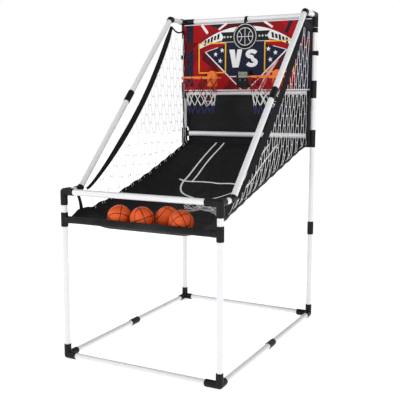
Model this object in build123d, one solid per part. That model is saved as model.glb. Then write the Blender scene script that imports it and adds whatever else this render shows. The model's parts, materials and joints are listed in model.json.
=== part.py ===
from build123d import *
import os

# Home arcade basketball game: two hoops over a sloping cloth court in a frame of push-fit tubes.
# Millimetres. X runs across the game, Y from the player (-) to the backboard (+), Z is up.
# The origin is on the floor under the middle of the frame.

# ---- driving dimensions: frame ----
POST_SPACING = 710.0          # across, between the axes of the left and right posts
FRAME_DEPTH = 1030.0          # between the axes of the front and rear posts
BASE_Z = 14.5                 # axis of the base tubes, a little less than the fitting radius
HEM_Z = 592.0                 # tube inside the front hem of the ball tray
RAIL_Z = 707.0                # front rail
CROSS_Z = 907.0               # tube over the top of the ramp
BOARD_BAR_Z = 1119.5          # crossbar under the backboard
FRONT_ELBOW_BACK = 105.0      # lower elbow, behind the front post
TOP_ELBOW_AHEAD = 150.0       # upper elbow, ahead of the rear post
REAR_COUPLER_Z = 453.0        # joint in the long rear posts
SLANT_JOINT_RISE = {-1: 0.0, 1: 9.6}      # slanted tube joint, above the middle, left and right

# ---- driving dimensions: tubes and fittings ----
TUBE_RADIUS = 12.5
TUBE_WALL = 1.0
FITTING_RADIUS = 15.0
SOCKET_CLEARANCE = 0.05       # radial, so that a tube pushes in by hand
SOCKET_STOP = 16.0            # solid core of a fitting, from its centre to the socket's end
MOUTH_CHAMFER = 1.2
CORNER_LONG_ARM = 60.0
CORNER_SHORT_ARM = 44.0
CORNER_UP_ARM = 48.0
FRONT_LEFT_CORNER_ARMS = (50.0, 39.0)      # along the rail, along the stub
FRONT_RIGHT_CORNER_ARMS = (62.0, 37.0)
FRONT_CORNER_DOWN_ARM = 55.0
REAR_CORNER_DOWN_ARM = 58.0
TEE_BRANCH = 31.0
FRONT_TEE_ARM = 29.5
REAR_TEE_LONG_ARM = 54.0
REAR_TEE_SHORT_ARM = 30.0
ELBOW_STUB_COLLAR = 18.0      # from the bend to the end of the level stub
ELBOW_SLANT_COLLAR = 14.0     # from the bend to the end of the slanted tube
SPIGOT_LENGTH = 24.0
COUPLER_LENGTH = 64.0
COUPLER_STOP = 1.0            # half the thickness of the stop inside a coupler

# ---- driving dimensions: backboard and hoops ----
BOARD_WIDTH = 700.0
BOARD_BOTTOM_Z = 1126.0
BOARD_TOP_Z = 1467.0
BOARD_THICKNESS = 4.0
HOOP_X = 178.0
RIM_Z = 1190.0
RIM_REACH = 130.0             # hoop centre, ahead of the board face
RIM_RADIUS = 95.0             # to the middle of the wire
WIRE_RADIUS = 3.5
RIM_LEG_OFFSET = 12.0
BRACKET_WIDTH = 48.0
BRACKET_TOP_Z = 1230.0
BRACKET_BOTTOM_Z = 1150.0
BRACKET_DEPTH = 20.0
RIM_LEG_DEPTH = 14.0          # how far the rim legs plug into the bracket
BOLT_RADIUS = 2.5
BOLT_DEPTH = 12.0             # thread in the bracket
BOLT_OFFSET = 28.0            # bolts, above and below the rim
WASHER_THICKNESS = 1.0
HOOP_NET_HEIGHT = 168.0
HOOP_NET_TOP_RADIUS = 95.0
HOOP_NET_BOTTOM_RADIUS = 60.0
PADDLE_PIVOT_DROP = 50.0      # pivot of the score paddle, under the rim
PADDLE_PIVOT_AHEAD = 10.0     # and ahead of the board face
PADDLE_LENGTH = 76.0
PADDLE_PIN_RADIUS = 1.5
PADDLE_CLEARANCE = 0.06

# ---- driving dimensions: scorer ----
SCORER_WIDTH = 70.0
SCORER_BOTTOM_Z = 1143.0
SCORER_HEIGHT = 85.0
SCORER_DEPTH = 25.0
SCORER_FRONT_WALL = 3.2
SCORER_SIDE_WALL = 2.0
SCORER_BACK_PLATE = 3.0
WINDOW_WIDTH = 50.0
WINDOW_HEIGHT = 30.0
WINDOW_Z = 1206.0
BUTTON_RADIUS = 4.5
BUTTON_X = 14.0
BUTTON_Z = 1180.0
BUTTON_TRAVEL = 1.5
COVER_WIDTH = 50.0
COVER_TOP_Z = 1169.0
COVER_THICKNESS = 1.8

# ---- driving dimensions: cloth, nets and balls ----
CLOTH_THICKNESS = 2.0
CLOTH_HALF_WIDTH = 323.0
CLOTH_FLAT_HALF = 190.0       # the sagging middle of the court is flat out to here
SEAM_Z = 862.0                # where the back curtain turns into the court
TRAY_FLOOR_Z = 561.5
NET_THICKNESS = 2.0
SIDE_NET_X = 334.0            # inner face of each side net
BALL_RADIUS = 49.0
BALL_GAP = 0.3                # between a ball and the tray cloth
BALL_PLACES = [(-127.0, -453.0), (-20.0, -453.0), (66.0, -400.0), (158.0, -453.0)]
STRAP_WIDTH = 13.0
STRAP_THICKNESS = 1.5
POST_STRAP_Z = 1303.0
POST_STRAP_HEIGHT = 20.0

# ---- derived places ----
POST_X = POST_SPACING / 2
FRONT_Y = -FRAME_DEPTH / 2
REAR_Y = FRAME_DEPTH / 2
LOW_ELBOW_Y = FRONT_Y + FRONT_ELBOW_BACK
TOP_ELBOW_Y = REAR_Y - TOP_ELBOW_AHEAD
TOP_Z = RAIL_Z + (TOP_ELBOW_Y - LOW_ELBOW_Y)      # the slanted tubes rise at 45 degrees
BOARD_BACK_Y = REAR_Y - FITTING_RADIUS - 0.5
BOARD_FACE_Y = BOARD_BACK_Y - BOARD_THICKNESS
HOOP_Y = BOARD_FACE_Y - RIM_REACH
SIDES = (("left", -1), ("right", 1))
LOW_FACE = (Align.CENTER, Align.CENTER, Align.MIN)
CLOTH_STATIONS = [            # (y, half width, height of the side edges, height of the middle)
    (REAR_Y + TUBE_RADIUS + 0.5, CLOTH_HALF_WIDTH, SEAM_Z, SEAM_Z),
    (170.0, CLOTH_HALF_WIDTH - 5.0, 761.0, 700.0),
    (6.0, CLOTH_HALF_WIDTH - 13.0, 713.0, 632.0),
    (-150.0, CLOTH_HALF_WIDTH - 14.0, 674.0, 590.0),
    (-300.0, CLOTH_HALF_WIDTH - 11.0, 644.0, 566.0),
    (-372.0, CLOTH_HALF_WIDTH - 7.0, 618.0, TRAY_FLOOR_Z),
    (-463.0, CLOTH_HALF_WIDTH - 3.0, 605.0, TRAY_FLOOR_Z),
    (-484.0, CLOTH_HALF_WIDTH - 2.0, 602.0, TRAY_FLOOR_Z + 7.5),
    (FRONT_Y + TUBE_RADIUS + 0.8, CLOTH_HALF_WIDTH - 1.0, HEM_Z - 1.5, HEM_Z - 2.5),
]


def save(node, shape):
    """Writes one named piece, or one group of identical pieces, as a STEP file."""
    shape.label = node
    export_step(shape, f"parts/{node}.step")


def bar(start, end, radius, chamfer_end=0.0):
    """A round bar between two points, chamfered at its far end if asked."""
    run = Vector(*end) - Vector(*start)
    solid = Cylinder(radius, run.length, align=LOW_FACE)
    if chamfer_end:
        solid = chamfer(solid.edges().group_by(Axis.Z)[-1], chamfer_end)
    return Plane(origin=start, z_dir=run) * solid


def box_between(low, high):
    """A box from its lowest corner to its highest corner."""
    size = [h - l for l, h in zip(low, high)]
    middle = [(l + h) / 2 for l, h in zip(low, high)]
    return Pos(*middle) * Box(*size)


def plate_yz(points, x_low, x_high):
    """A plate across X whose outline is a list of (y, z) points."""
    outline = Plane.YZ * make_face(Polyline(*points, close=True))
    return Pos(x_low, 0, 0) * extrude(outline, x_high - x_low, dir=(1, 0, 0))


def along(start, end, distance):
    """The point a distance from start on the way to end."""
    step = (Vector(*end) - Vector(*start)).normalized() * distance
    return (start[0] + step.X, start[1] + step.Y, start[2] + step.Z)


def tube(start, end, start_gap, end_gap):
    """A hollow tube on the line between two fitting centres, short of each by a gap."""
    a = along(start, end, start_gap)
    b = along(end, start, end_gap)
    bore_start = along(a, b, -1.0)
    bore_end = along(b, a, -1.0)
    return bar(a, b, TUBE_RADIUS) - bar(bore_start, bore_end, TUBE_RADIUS - TUBE_WALL)


def fitting(centre, arms, stop=SOCKET_STOP):
    """A moulded connector: one socket for each arm, given as (direction, length)."""
    solid = Pos(*centre) * Sphere(FITTING_RADIUS)
    for direction, length in arms:
        mouth = Vector(*centre) + Vector(*direction).normalized() * length
        solid += bar(centre, tuple(mouth), FITTING_RADIUS, MOUTH_CHAMFER)
    for direction, length in arms:
        unit = Vector(*direction).normalized()
        socket_end = Vector(*centre) + unit * stop
        past_mouth = Vector(*centre) + unit * (length + 1.0)
        solid -= bar(tuple(socket_end), tuple(past_mouth), TUBE_RADIUS + SOCKET_CLEARANCE)
    return solid


# ---- frame fittings ----
def base_corner(side, end, in_arm, side_arm):
    """A three-way corner on the floor, cut flat underneath as its foot."""
    centre = (side * POST_X, end * REAR_Y, BASE_Z)
    arms = [((0, 0, 1), CORNER_UP_ARM), ((-side, 0, 0), in_arm), ((0, -end, 0), side_arm)]
    floor_cut = Pos(centre[0], centre[1], -5.0) * Box(200, 200, 10.0)
    return fitting(centre, arms) - floor_cut


def front_top_corner(side, in_arm, back_arm):
    """Joins the front rail, the front post and the stub that leads to the slanted tube."""
    arms = [((0, 0, -1), FRONT_CORNER_DOWN_ARM), ((-side, 0, 0), in_arm), ((0, 1, 0), back_arm)]
    return fitting((side * POST_X, FRONT_Y, RAIL_Z), arms)


def rear_top_corner(side):
    """Joins the rear post, the top crossbar and the stub from the slanted tube."""
    arms = [((0, 0, -1), REAR_CORNER_DOWN_ARM), ((-side, 0, 0), CORNER_LONG_ARM)]
    arms.append(((0, -1, 0), CORNER_SHORT_ARM))
    return fitting((side * POST_X, REAR_Y, TOP_Z), arms)


def tee(side, y, z, up_arm, down_arm):
    """A tee on a post, with its branch pointing inwards."""
    arms = [((0, 0, 1), up_arm), ((0, 0, -1), down_arm), ((-side, 0, 0), TEE_BRANCH)]
    return fitting((side * POST_X, y, z), arms)


def elbow(centre, stub_direction, slant_direction):
    """A short 45 degree elbow whose spigots plug into the stub and the slanted tube."""
    solid = Pos(*centre) * Sphere(FITTING_RADIUS)
    spigot_radius = TUBE_RADIUS - TUBE_WALL - SOCKET_CLEARANCE
    collars = [(stub_direction, ELBOW_STUB_COLLAR), (slant_direction, ELBOW_SLANT_COLLAR)]
    for direction, collar in collars:
        unit = Vector(*direction).normalized()
        shoulder = tuple(Vector(*centre) + unit * collar)
        tip = tuple(Vector(*centre) + unit * (collar + SPIGOT_LENGTH))
        solid += bar(centre, shoulder, FITTING_RADIUS)
        solid += bar(centre, tip, spigot_radius, MOUTH_CHAMFER)
    for direction, collar in collars:
        solid -= past_shoulder(centre, direction, collar, spigot_radius)
    return solid


def past_shoulder(centre, direction, collar, spigot_radius):
    """The space round a spigot that the end of a tube takes."""
    unit = Vector(*direction).normalized()
    start = tuple(Vector(*centre) + unit * collar)
    end = tuple(Vector(*centre) + unit * (collar + SPIGOT_LENGTH + 5.0))
    return bar(start, end, FITTING_RADIUS + 5.0) - bar(start, end, spigot_radius)


def low_elbow(side):
    """Elbow from the front stub to the slanted tube."""
    return elbow((side * POST_X, LOW_ELBOW_Y, RAIL_Z), (0, -1, 0), (0, 1, 1))


def top_elbow(side):
    """Elbow from the slanted tube to the top stub."""
    return elbow((side * POST_X, TOP_ELBOW_Y, TOP_Z), (0, 1, 0), (0, -1, -1))


def slant_joint(side):
    """Where the two slanted tubes of one side meet, as (y, z)."""
    rise = SLANT_JOINT_RISE[side]
    return ((LOW_ELBOW_Y + TOP_ELBOW_Y) / 2 + rise, (RAIL_Z + TOP_Z) / 2 + rise)


def coupler(centre, direction):
    """A straight sleeve that joins two tubes end to end on its middle stop."""
    half = COUPLER_LENGTH / 2
    reverse = tuple(-d for d in direction)
    return fitting(centre, [(direction, half), (reverse, half)], COUPLER_STOP)


def frame_fittings():
    """Every moulded connector of the frame."""
    save("base_corner_front_left", base_corner(-1, -1, CORNER_SHORT_ARM, CORNER_LONG_ARM))
    save("base_corner_front_right", base_corner(1, -1, CORNER_LONG_ARM, CORNER_SHORT_ARM))
    save("base_corner_rear_left", base_corner(-1, 1, CORNER_SHORT_ARM, CORNER_LONG_ARM))
    save("base_corner_rear_right", base_corner(1, 1, CORNER_LONG_ARM, CORNER_SHORT_ARM))
    save("front_top_corner_left", front_top_corner(-1, *FRONT_LEFT_CORNER_ARMS))
    save("front_top_corner_right", front_top_corner(1, *FRONT_RIGHT_CORNER_ARMS))
    for name, side in SIDES:
        save(f"rear_top_corner_{name}", rear_top_corner(side))
    front_tees = [tee(side, FRONT_Y, HEM_Z, FRONT_TEE_ARM, FRONT_TEE_ARM) for _, side in SIDES]
    save("front_tee_fittings", Compound(children=front_tees))
    rear_tees = []
    for _, side in SIDES:
        rear_tees.append(tee(side, REAR_Y, CROSS_Z, REAR_TEE_SHORT_ARM, REAR_TEE_LONG_ARM))
        rear_tees.append(tee(side, REAR_Y, BOARD_BAR_Z, REAR_TEE_LONG_ARM, REAR_TEE_SHORT_ARM))
    save("rear_tee_fittings", Compound(children=rear_tees))
    elbows = [make(side) for make in (low_elbow, top_elbow) for _, side in SIDES]
    save("elbow_fittings", Compound(children=elbows))
    couplers = []
    for _, side in SIDES:
        couplers.append(coupler((side * POST_X, 0, BASE_Z), (0, 1, 0)))
        couplers.append(coupler((side * POST_X, *slant_joint(side)), (0, 1, 1)))
        couplers.append(coupler((side * POST_X, REAR_Y, REAR_COUPLER_Z), (0, 0, 1)))
    save("tube_couplers", Compound(children=couplers))


# ---- frame tubes ----
def cross_tube(y, z):
    """A tube across the game, from post fitting to post fitting."""
    return tube((-POST_X, y, z), (POST_X, y, z), SOCKET_STOP, SOCKET_STOP)


def frame_tubes():
    """Every tube of the frame."""
    save("base_front_tube", cross_tube(FRONT_Y, BASE_Z))
    save("base_rear_tube", cross_tube(REAR_Y, BASE_Z))
    save("front_rail_tube", cross_tube(FRONT_Y, RAIL_Z))
    save("tray_hem_tube", cross_tube(FRONT_Y, HEM_Z))
    save("ramp_cross_tube", cross_tube(REAR_Y, CROSS_Z))
    save("board_lower_crossbar", cross_tube(REAR_Y, BOARD_BAR_Z))
    save("board_top_crossbar", cross_tube(REAR_Y, TOP_Z))
    spacers = []
    stubs = []
    for name, side in SIDES:
        x = side * POST_X
        floor_front = (x, FRONT_Y, BASE_Z)
        floor_rear = (x, REAR_Y, BASE_Z)
        floor_middle = (x, 0, BASE_Z)
        low = (x, LOW_ELBOW_Y, RAIL_Z)
        high = (x, TOP_ELBOW_Y, TOP_Z)
        joint = (x, *slant_joint(side))
        base = [tube(floor_front, floor_middle, SOCKET_STOP, COUPLER_STOP)]
        base.append(tube(floor_middle, floor_rear, COUPLER_STOP, SOCKET_STOP))
        save(f"base_side_tubes_{name}", Compound(children=base))
        front_tee = (x, FRONT_Y, HEM_Z)
        front_top = (x, FRONT_Y, RAIL_Z)
        save(f"front_leg_tube_{name}", tube(floor_front, front_tee, SOCKET_STOP, SOCKET_STOP))
        spacers.append(tube(front_tee, front_top, SOCKET_STOP, SOCKET_STOP))
        stubs.append(tube(front_top, low, SOCKET_STOP, ELBOW_STUB_COLLAR))
        stubs.append(tube(high, (x, REAR_Y, TOP_Z), ELBOW_STUB_COLLAR, SOCKET_STOP))
        slanted = [tube(low, joint, ELBOW_SLANT_COLLAR, COUPLER_STOP)]
        slanted.append(tube(joint, high, COUPLER_STOP, ELBOW_SLANT_COLLAR))
        save(f"slanted_tubes_{name}", Compound(children=slanted))
        joint = (x, REAR_Y, REAR_COUPLER_Z)
        low_tee = (x, REAR_Y, CROSS_Z)
        high_tee = (x, REAR_Y, BOARD_BAR_Z)
        post = [tube(floor_rear, joint, SOCKET_STOP, COUPLER_STOP)]
        post.append(tube(joint, low_tee, COUPLER_STOP, SOCKET_STOP))
        post.append(tube(low_tee, high_tee, SOCKET_STOP, SOCKET_STOP))
        post.append(tube(high_tee, (x, REAR_Y, TOP_Z), SOCKET_STOP, SOCKET_STOP))
        save(f"rear_post_tubes_{name}", Compound(children=post))
    save("front_spacer_tubes", Compound(children=spacers))
    save("elbow_stub_tubes", Compound(children=stubs))


# ---- backboard ----
def bolt_places():
    """Middle of each bracket bolt on the board, as (x, z)."""
    return [(s * HOOP_X, RIM_Z + v * BOLT_OFFSET) for _, s in SIDES for v in (-1, 1)]


def backboard():
    """The printed board, with the bolts and washers that hold the brackets from behind."""
    low = (-BOARD_WIDTH / 2, BOARD_FACE_Y, BOARD_BOTTOM_Z)
    panel = box_between(low, (BOARD_WIDTH / 2, BOARD_BACK_Y, BOARD_TOP_Z))
    hole_radius = BOLT_RADIUS + 0.2
    seat_y = BOARD_BACK_Y + WASHER_THICKNESS
    bolts = []
    washers = []
    for x, z in bolt_places():
        panel -= bar((x, BOARD_FACE_Y - 1, z), (x, BOARD_BACK_Y + 1, z), hole_radius)
        shank = bar((x, seat_y, z), (x, BOARD_FACE_Y - BOLT_DEPTH, z), BOLT_RADIUS, 0.5)
        head = bar((x, seat_y, z), (x, seat_y + 3.0, z), 4.6, 1.0)
        slot_low = (x - 3.2, seat_y + 2.0, z - 0.6)
        bolts.append(shank + head - box_between(slot_low, (x + 3.2, seat_y + 4.0, z + 0.6)))
        washer = bar((x, BOARD_BACK_Y, z), (x, seat_y, z), 6.5)
        washers.append(washer - bar((x, BOARD_BACK_Y - 1, z), (x, seat_y + 1, z), hole_radius))
    save("backboard_panel", panel)
    save("bracket_bolts", Compound(children=bolts))
    save("bracket_washers", Compound(children=washers))


# ---- hoops ----
def rim_bracket(side):
    """Moulded bracket: a round-topped block bored for the rim legs, with ears for the paddle."""
    x = side * HOOP_X
    half = BRACKET_WIDTH / 2
    face_y = BOARD_FACE_Y - BRACKET_DEPTH
    top_z = BRACKET_TOP_Z - half
    block = box_between((x - half, face_y, BRACKET_BOTTOM_Z), (x + half, BOARD_FACE_Y, top_z))
    block += bar((x, face_y, top_z), (x, BOARD_FACE_Y, top_z), half)
    block = fillet(block.faces().sort_by(Axis.Y)[0].edges(), 4.0)
    for leg in (-1, 1):
        leg_x = x + leg * RIM_LEG_OFFSET
        bore_start = (leg_x, face_y - 1, RIM_Z)
        block -= bar(bore_start, (leg_x, face_y + RIM_LEG_DEPTH + 1, RIM_Z), WIRE_RADIUS + 0.1)
    pivot_y = BOARD_FACE_Y - PADDLE_PIVOT_AHEAD
    pivot_z = RIM_Z - PADDLE_PIVOT_DROP
    for ear in (-1, 1):
        ear_x = x + ear * 11.5
        ear_low = (ear_x - 2.0, pivot_y - 4.5, pivot_z - 4.5)
        block += box_between(ear_low, (ear_x + 2.0, BOARD_FACE_Y, BRACKET_BOTTOM_Z + 6))
    pin_hole = PADDLE_PIN_RADIUS + PADDLE_CLEARANCE
    block -= bar((x - 20, pivot_y, pivot_z), (x + 20, pivot_y, pivot_z), pin_hole)
    for bolt_x, bolt_z in bolt_places():
        if bolt_x == x:
            thread_end = BOARD_FACE_Y - BOLT_DEPTH - 0.5
            start = (x, BOARD_FACE_Y + 1, bolt_z)
            block -= bar(start, (x, thread_end, bolt_z), BOLT_RADIUS + 0.05)
    return block


def rim(side):
    """A wire ring with two straight legs that plug into the bracket."""
    x = side * HOOP_X
    ring = Pos(x, HOOP_Y, RIM_Z) * Torus(RIM_RADIUS, WIRE_RADIUS)
    leg_start = HOOP_Y + (RIM_RADIUS**2 - RIM_LEG_OFFSET**2) ** 0.5
    leg_end = BOARD_FACE_Y - BRACKET_DEPTH + RIM_LEG_DEPTH
    for leg in (-1, 1):
        leg_x = x + leg * RIM_LEG_OFFSET
        ring += bar((leg_x, leg_start, RIM_Z), (leg_x, leg_end, RIM_Z), WIRE_RADIUS)
    return ring


def hoop_net(side):
    """The space that a hoop net hangs in: an open cone, slotted behind for the score paddle."""
    x = side * HOOP_X
    top_z = RIM_Z - WIRE_RADIUS - 0.5
    half_wall = NET_THICKNESS / 2
    middle = (x, HOOP_Y, top_z - HOOP_NET_HEIGHT / 2)
    bottom = HOOP_NET_BOTTOM_RADIUS
    top = HOOP_NET_TOP_RADIUS
    shell = Pos(*middle) * Cone(bottom + half_wall, top + half_wall, HOOP_NET_HEIGHT)
    shell -= Pos(*middle) * Cone(bottom - half_wall, top - half_wall, HOOP_NET_HEIGHT)
    slot_low = (x - 17, HOOP_Y, RIM_Z - PADDLE_PIVOT_DROP - 42)
    slot = box_between(slot_low, (x + 17, BOARD_FACE_Y, RIM_Z - PADDLE_PIVOT_DROP + 14))
    return shell - slot


def score_paddle(side):
    """The sprung lever that a falling ball presses, with its pivot pin."""
    x = side * HOOP_X
    pivot_y = BOARD_FACE_Y - PADDLE_PIVOT_AHEAD
    pivot_z = RIM_Z - PADDLE_PIVOT_DROP
    tip_y = pivot_y - PADDLE_LENGTH
    paddle = bar((x - 9, pivot_y, pivot_z), (x + 9, pivot_y, pivot_z), 4.0)
    paddle += box_between((x - 6, tip_y, pivot_z - 1.5), (x + 6, pivot_y, pivot_z + 1.5))
    paddle += box_between((x - 13, tip_y, pivot_z - 1.5), (x + 13, tip_y + 22, pivot_z + 1.5))
    pin = bar((x - 13.5, pivot_y, pivot_z), (x + 13.5, pivot_y, pivot_z), PADDLE_PIN_RADIUS)
    return paddle + pin


def hoops():
    """Rims, brackets, nets and score paddles of both hoops."""
    for name, side in SIDES:
        save(f"rim_bracket_{name}", rim_bracket(side))
        save(f"rim_{name}", rim(side))
        save(f"hoop_net_{name}", hoop_net(side))
        save(f"score_paddle_{name}", score_paddle(side))


# ---- scorer ----
def scorer():
    """The battery scorer in the middle of the board."""
    half = SCORER_WIDTH / 2
    front_y = BOARD_FACE_Y - SCORER_DEPTH
    split_y = BOARD_FACE_Y - SCORER_BACK_PLATE
    inner_y = front_y + SCORER_FRONT_WALL
    top_z = SCORER_BOTTOM_Z + SCORER_HEIGHT
    wall = SCORER_SIDE_WALL
    shell = box_between((-half, front_y, SCORER_BOTTOM_Z), (half, split_y, top_z))
    shell = fillet(shell.edges().filter_by(Axis.Y), 4.0)
    shell = fillet(shell.faces().sort_by(Axis.Y)[0].edges(), 1.5)
    inside_low = (-half + wall, inner_y, SCORER_BOTTOM_Z + wall)
    shell -= box_between(inside_low, (half - wall, split_y + 1, top_z - wall))
    window_half = WINDOW_WIDTH / 2
    window_low = (-window_half, front_y - 1, WINDOW_Z - WINDOW_HEIGHT / 2)
    shell -= box_between(window_low, (window_half, inner_y + 1, WINDOW_Z + WINDOW_HEIGHT / 2))
    for side in (-1, 1):
        hole_start = (side * BUTTON_X, front_y - 1, BUTTON_Z)
        hole_end = (side * BUTTON_X, inner_y + 1, BUTTON_Z)
        shell -= bar(hole_start, hole_end, BUTTON_RADIUS + 0.2)
    gap = 0.15
    recess_half = COVER_WIDTH / 2 + gap
    recess_low = (-recess_half, front_y - 3, SCORER_BOTTOM_Z - 1)
    shell -= box_between(recess_low, (recess_half, front_y + COVER_THICKNESS + gap, COVER_TOP_Z + gap))
    hatch_low = (-recess_half + 3, front_y - 3, SCORER_BOTTOM_Z + 5)
    shell -= box_between(hatch_low, (recess_half - 3, inner_y + 1, COVER_TOP_Z - 4))
    save("scorer_front_shell", shell)

    plate = box_between((-half, split_y, SCORER_BOTTOM_Z), (half, BOARD_FACE_Y, top_z))
    plate = fillet(plate.edges().filter_by(Axis.Y), 4.0)
    circuit_y = inner_y + 5.0
    circuit_back_y = circuit_y + 1.6
    for x in (-24.0, 24.0):
        for z in (1182.0, 1220.0):
            plate += bar((x, split_y, z), (x, circuit_back_y, z), 2.5)
    save("scorer_back_plate", plate)
    circuit = box_between((-29, circuit_y, 1176), (29, circuit_back_y, 1224))
    save("scorer_circuit_board", circuit)

    lens_gap = 0.1
    lens_low = (-window_half + lens_gap, front_y + 0.5, WINDOW_Z - WINDOW_HEIGHT / 2 + lens_gap)
    lens_high = (window_half - lens_gap, inner_y - 1.0, WINDOW_Z + WINDOW_HEIGHT / 2 - lens_gap)
    save("scorer_display_window", box_between(lens_low, lens_high))
    lcd_low = (-window_half + 2, inner_y + 0.2, WINDOW_Z - WINDOW_HEIGHT / 2 + 1)
    lcd_high = (window_half - 2, circuit_y, WINDOW_Z + WINDOW_HEIGHT / 2 - 1)
    save("scorer_lcd_panel", box_between(lcd_low, lcd_high))

    for name, side in (("start", -1), ("reset", 1)):
        x = side * BUTTON_X
        cap = bar((x, inner_y + 1, BUTTON_Z), (x, front_y - 2.5, BUTTON_Z), BUTTON_RADIUS, 0.8)
        flange_start = (x, inner_y + 0.3, BUTTON_Z)
        cap += bar(flange_start, (x, inner_y + 1.8, BUTTON_Z), BUTTON_RADIUS + 1.5)
        save(f"scorer_{name}_button", cap)

    cover_low = (-COVER_WIDTH / 2, front_y, SCORER_BOTTOM_Z + 0.4)
    cover = box_between(cover_low, (COVER_WIDTH / 2, front_y + COVER_THICKNESS, COVER_TOP_Z))
    for rib in range(4):
        rib_z = SCORER_BOTTOM_Z + 7 + rib * 3.5
        cover += box_between((-9, front_y - 0.8, rib_z), (9, front_y, rib_z + 1.5))
    save("scorer_battery_cover", cover)
    cells = []
    cell_y = inner_y + 7.0
    for cell_z in (SCORER_BOTTOM_Z + 8.5, SCORER_BOTTOM_Z + 20.0):
        cell = bar((-22.0, cell_y, cell_z), (21.0, cell_y, cell_z), 5.25, 0.4)
        cell += bar((21.0, cell_y, cell_z), (22.5, cell_y, cell_z), 1.9)
        cells.append(cell)
    save("scorer_batteries", Compound(children=cells))


# ---- cloth ----
def cloth_section(y, half_width, edge_z, middle_z):
    """A closed slice of the cloth across X: flat in the middle, rising to both side edges."""
    upper = [
        (-half_width, y, edge_z),
        (-CLOTH_FLAT_HALF, y, middle_z),
        (CLOTH_FLAT_HALF, y, middle_z),
        (half_width, y, edge_z),
    ]
    lower = [(x, y, z - CLOTH_THICKNESS) for x, y, z in reversed(upper)]
    return make_face(Polyline(*upper, *lower, close=True))


def ramp_cloth():
    """The sagging court and the ball tray, down to the hem sleeve round the front tube."""
    sections = [cloth_section(*station) for station in CLOTH_STATIONS]
    sheet = loft(sections, ruled=True)
    sleeve_half = CLOTH_HALF_WIDTH - 1.0
    start = (-sleeve_half, FRONT_Y, HEM_Z)
    end = (sleeve_half, FRONT_Y, HEM_Z)
    sheet += bar(start, end, TUBE_RADIUS + 1.8)
    bore_start = along(start, end, -5.0)
    bore_end = along(end, start, -5.0)
    return sheet - bar(bore_start, bore_end, TUBE_RADIUS + 0.3)


def back_curtain():
    """The cloth that hangs behind the crossbar and stops the balls."""
    low_y = REAR_Y + TUBE_RADIUS + 0.5
    low = (-CLOTH_HALF_WIDTH, low_y, SEAM_Z - CLOTH_THICKNESS)
    return box_between(low, (CLOTH_HALF_WIDTH, low_y + 1.5, BOARD_BAR_Z + 4.0))


def side_net(side):
    """The sheet that a side net fills, from the slanted tube to the rear post and the ramp."""
    rear_y = BOARD_FACE_Y - 2.0
    slant_gap = 30.0
    points = [
        (LOW_ELBOW_Y + slant_gap, RAIL_Z + 8.0),
        (TOP_ELBOW_Y + 10.0, TOP_Z - 14.0),
        (rear_y, TOP_Z - 14.0),
        (rear_y, SEAM_Z - 10.0),
        (LOW_ELBOW_Y + slant_gap + 10.0, 632.0),
    ]
    x_low = SIDE_NET_X if side > 0 else -SIDE_NET_X - NET_THICKNESS
    return plate_yz(points, x_low, x_low + NET_THICKNESS)


def tray_strap(side):
    """A webbing strap from the front stub down to the edge of the ball tray."""
    start = Vector(side * (POST_X - 3.0), LOW_ELBOW_Y - 42.0, RAIL_Z - TUBE_RADIUS - 5.0)
    end = Vector(side * (CLOTH_HALF_WIDTH + 3.0), LOW_ELBOW_Y + 26.0, 618.0)
    run = end - start
    across = Plane(origin=start, x_dir=(0, 1, 0), z_dir=run)
    return across * Box(STRAP_WIDTH, STRAP_THICKNESS, run.length, align=LOW_FACE)


def top_board_strap():
    """Loops over the middle of the top crossbar and holds the board's upper edge."""
    half = STRAP_WIDTH / 2
    loop = bar((-half, REAR_Y, TOP_Z), (half, REAR_Y, TOP_Z), TUBE_RADIUS + 1.8)
    face = BOARD_FACE_Y
    tail = [
        (face - STRAP_THICKNESS, BOARD_TOP_Z - 14),
        (face - 0.1, BOARD_TOP_Z - 14),
        (face - 0.1, BOARD_TOP_Z + 4),
        (REAR_Y - TUBE_RADIUS, TOP_Z + 4),
        (REAR_Y - TUBE_RADIUS, TOP_Z + 6),
        (face - STRAP_THICKNESS, BOARD_TOP_Z + 5),
    ]
    loop += plate_yz(tail, -half, half)
    return loop - bar((-20, REAR_Y, TOP_Z), (20, REAR_Y, TOP_Z), TUBE_RADIUS + 0.2)


def post_strap(side):
    """Loops round a rear post, holds the board's side edge and ends in a buckle outside."""
    x = side * POST_X
    low_z = POST_STRAP_Z - POST_STRAP_HEIGHT / 2
    high_z = POST_STRAP_Z + POST_STRAP_HEIGHT / 2
    loop = bar((x, REAR_Y, low_z), (x, REAR_Y, high_z), TUBE_RADIUS + 1.8)
    face = BOARD_FACE_Y
    edge = side * BOARD_WIDTH / 2
    tail = [
        (edge - side * 14.0, face - STRAP_THICKNESS),
        (edge - side * 14.0, face - 0.1),
        (edge + side * 1.0, face - 0.1),
        (x + side * 8.0, REAR_Y - TUBE_RADIUS + 1.5),
        (x + side * 10.0, REAR_Y - TUBE_RADIUS + 3.0),
        (edge + side * 2.0, face - STRAP_THICKNESS),
    ]
    outline = make_face(Polyline(*tail, close=True))
    loop += Pos(0, 0, low_z) * extrude(outline, POST_STRAP_HEIGHT, dir=(0, 0, 1))
    buckle_low = min(x + side * 13.0, x + side * 19.0)
    buckle = (buckle_low, REAR_Y - 8.0, low_z - 1.0)
    loop += box_between(buckle, (buckle_low + 6.0, REAR_Y + 8.0, high_z + 1.0))
    bore_start = (x, REAR_Y, low_z - 5)
    return loop - bar(bore_start, (x, REAR_Y, high_z + 5), TUBE_RADIUS + 0.2)


def soft_goods():
    """Cloth, nets and straps."""
    save("ramp_cloth", ramp_cloth())
    save("back_curtain", back_curtain())
    for name, side in SIDES:
        save(f"side_net_{name}", side_net(side))
    save("tray_straps", Compound(children=[tray_strap(side) for _, side in SIDES]))
    ties = [top_board_strap()] + [post_strap(side) for _, side in SIDES]
    save("board_tie_straps", Compound(children=ties))


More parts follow.
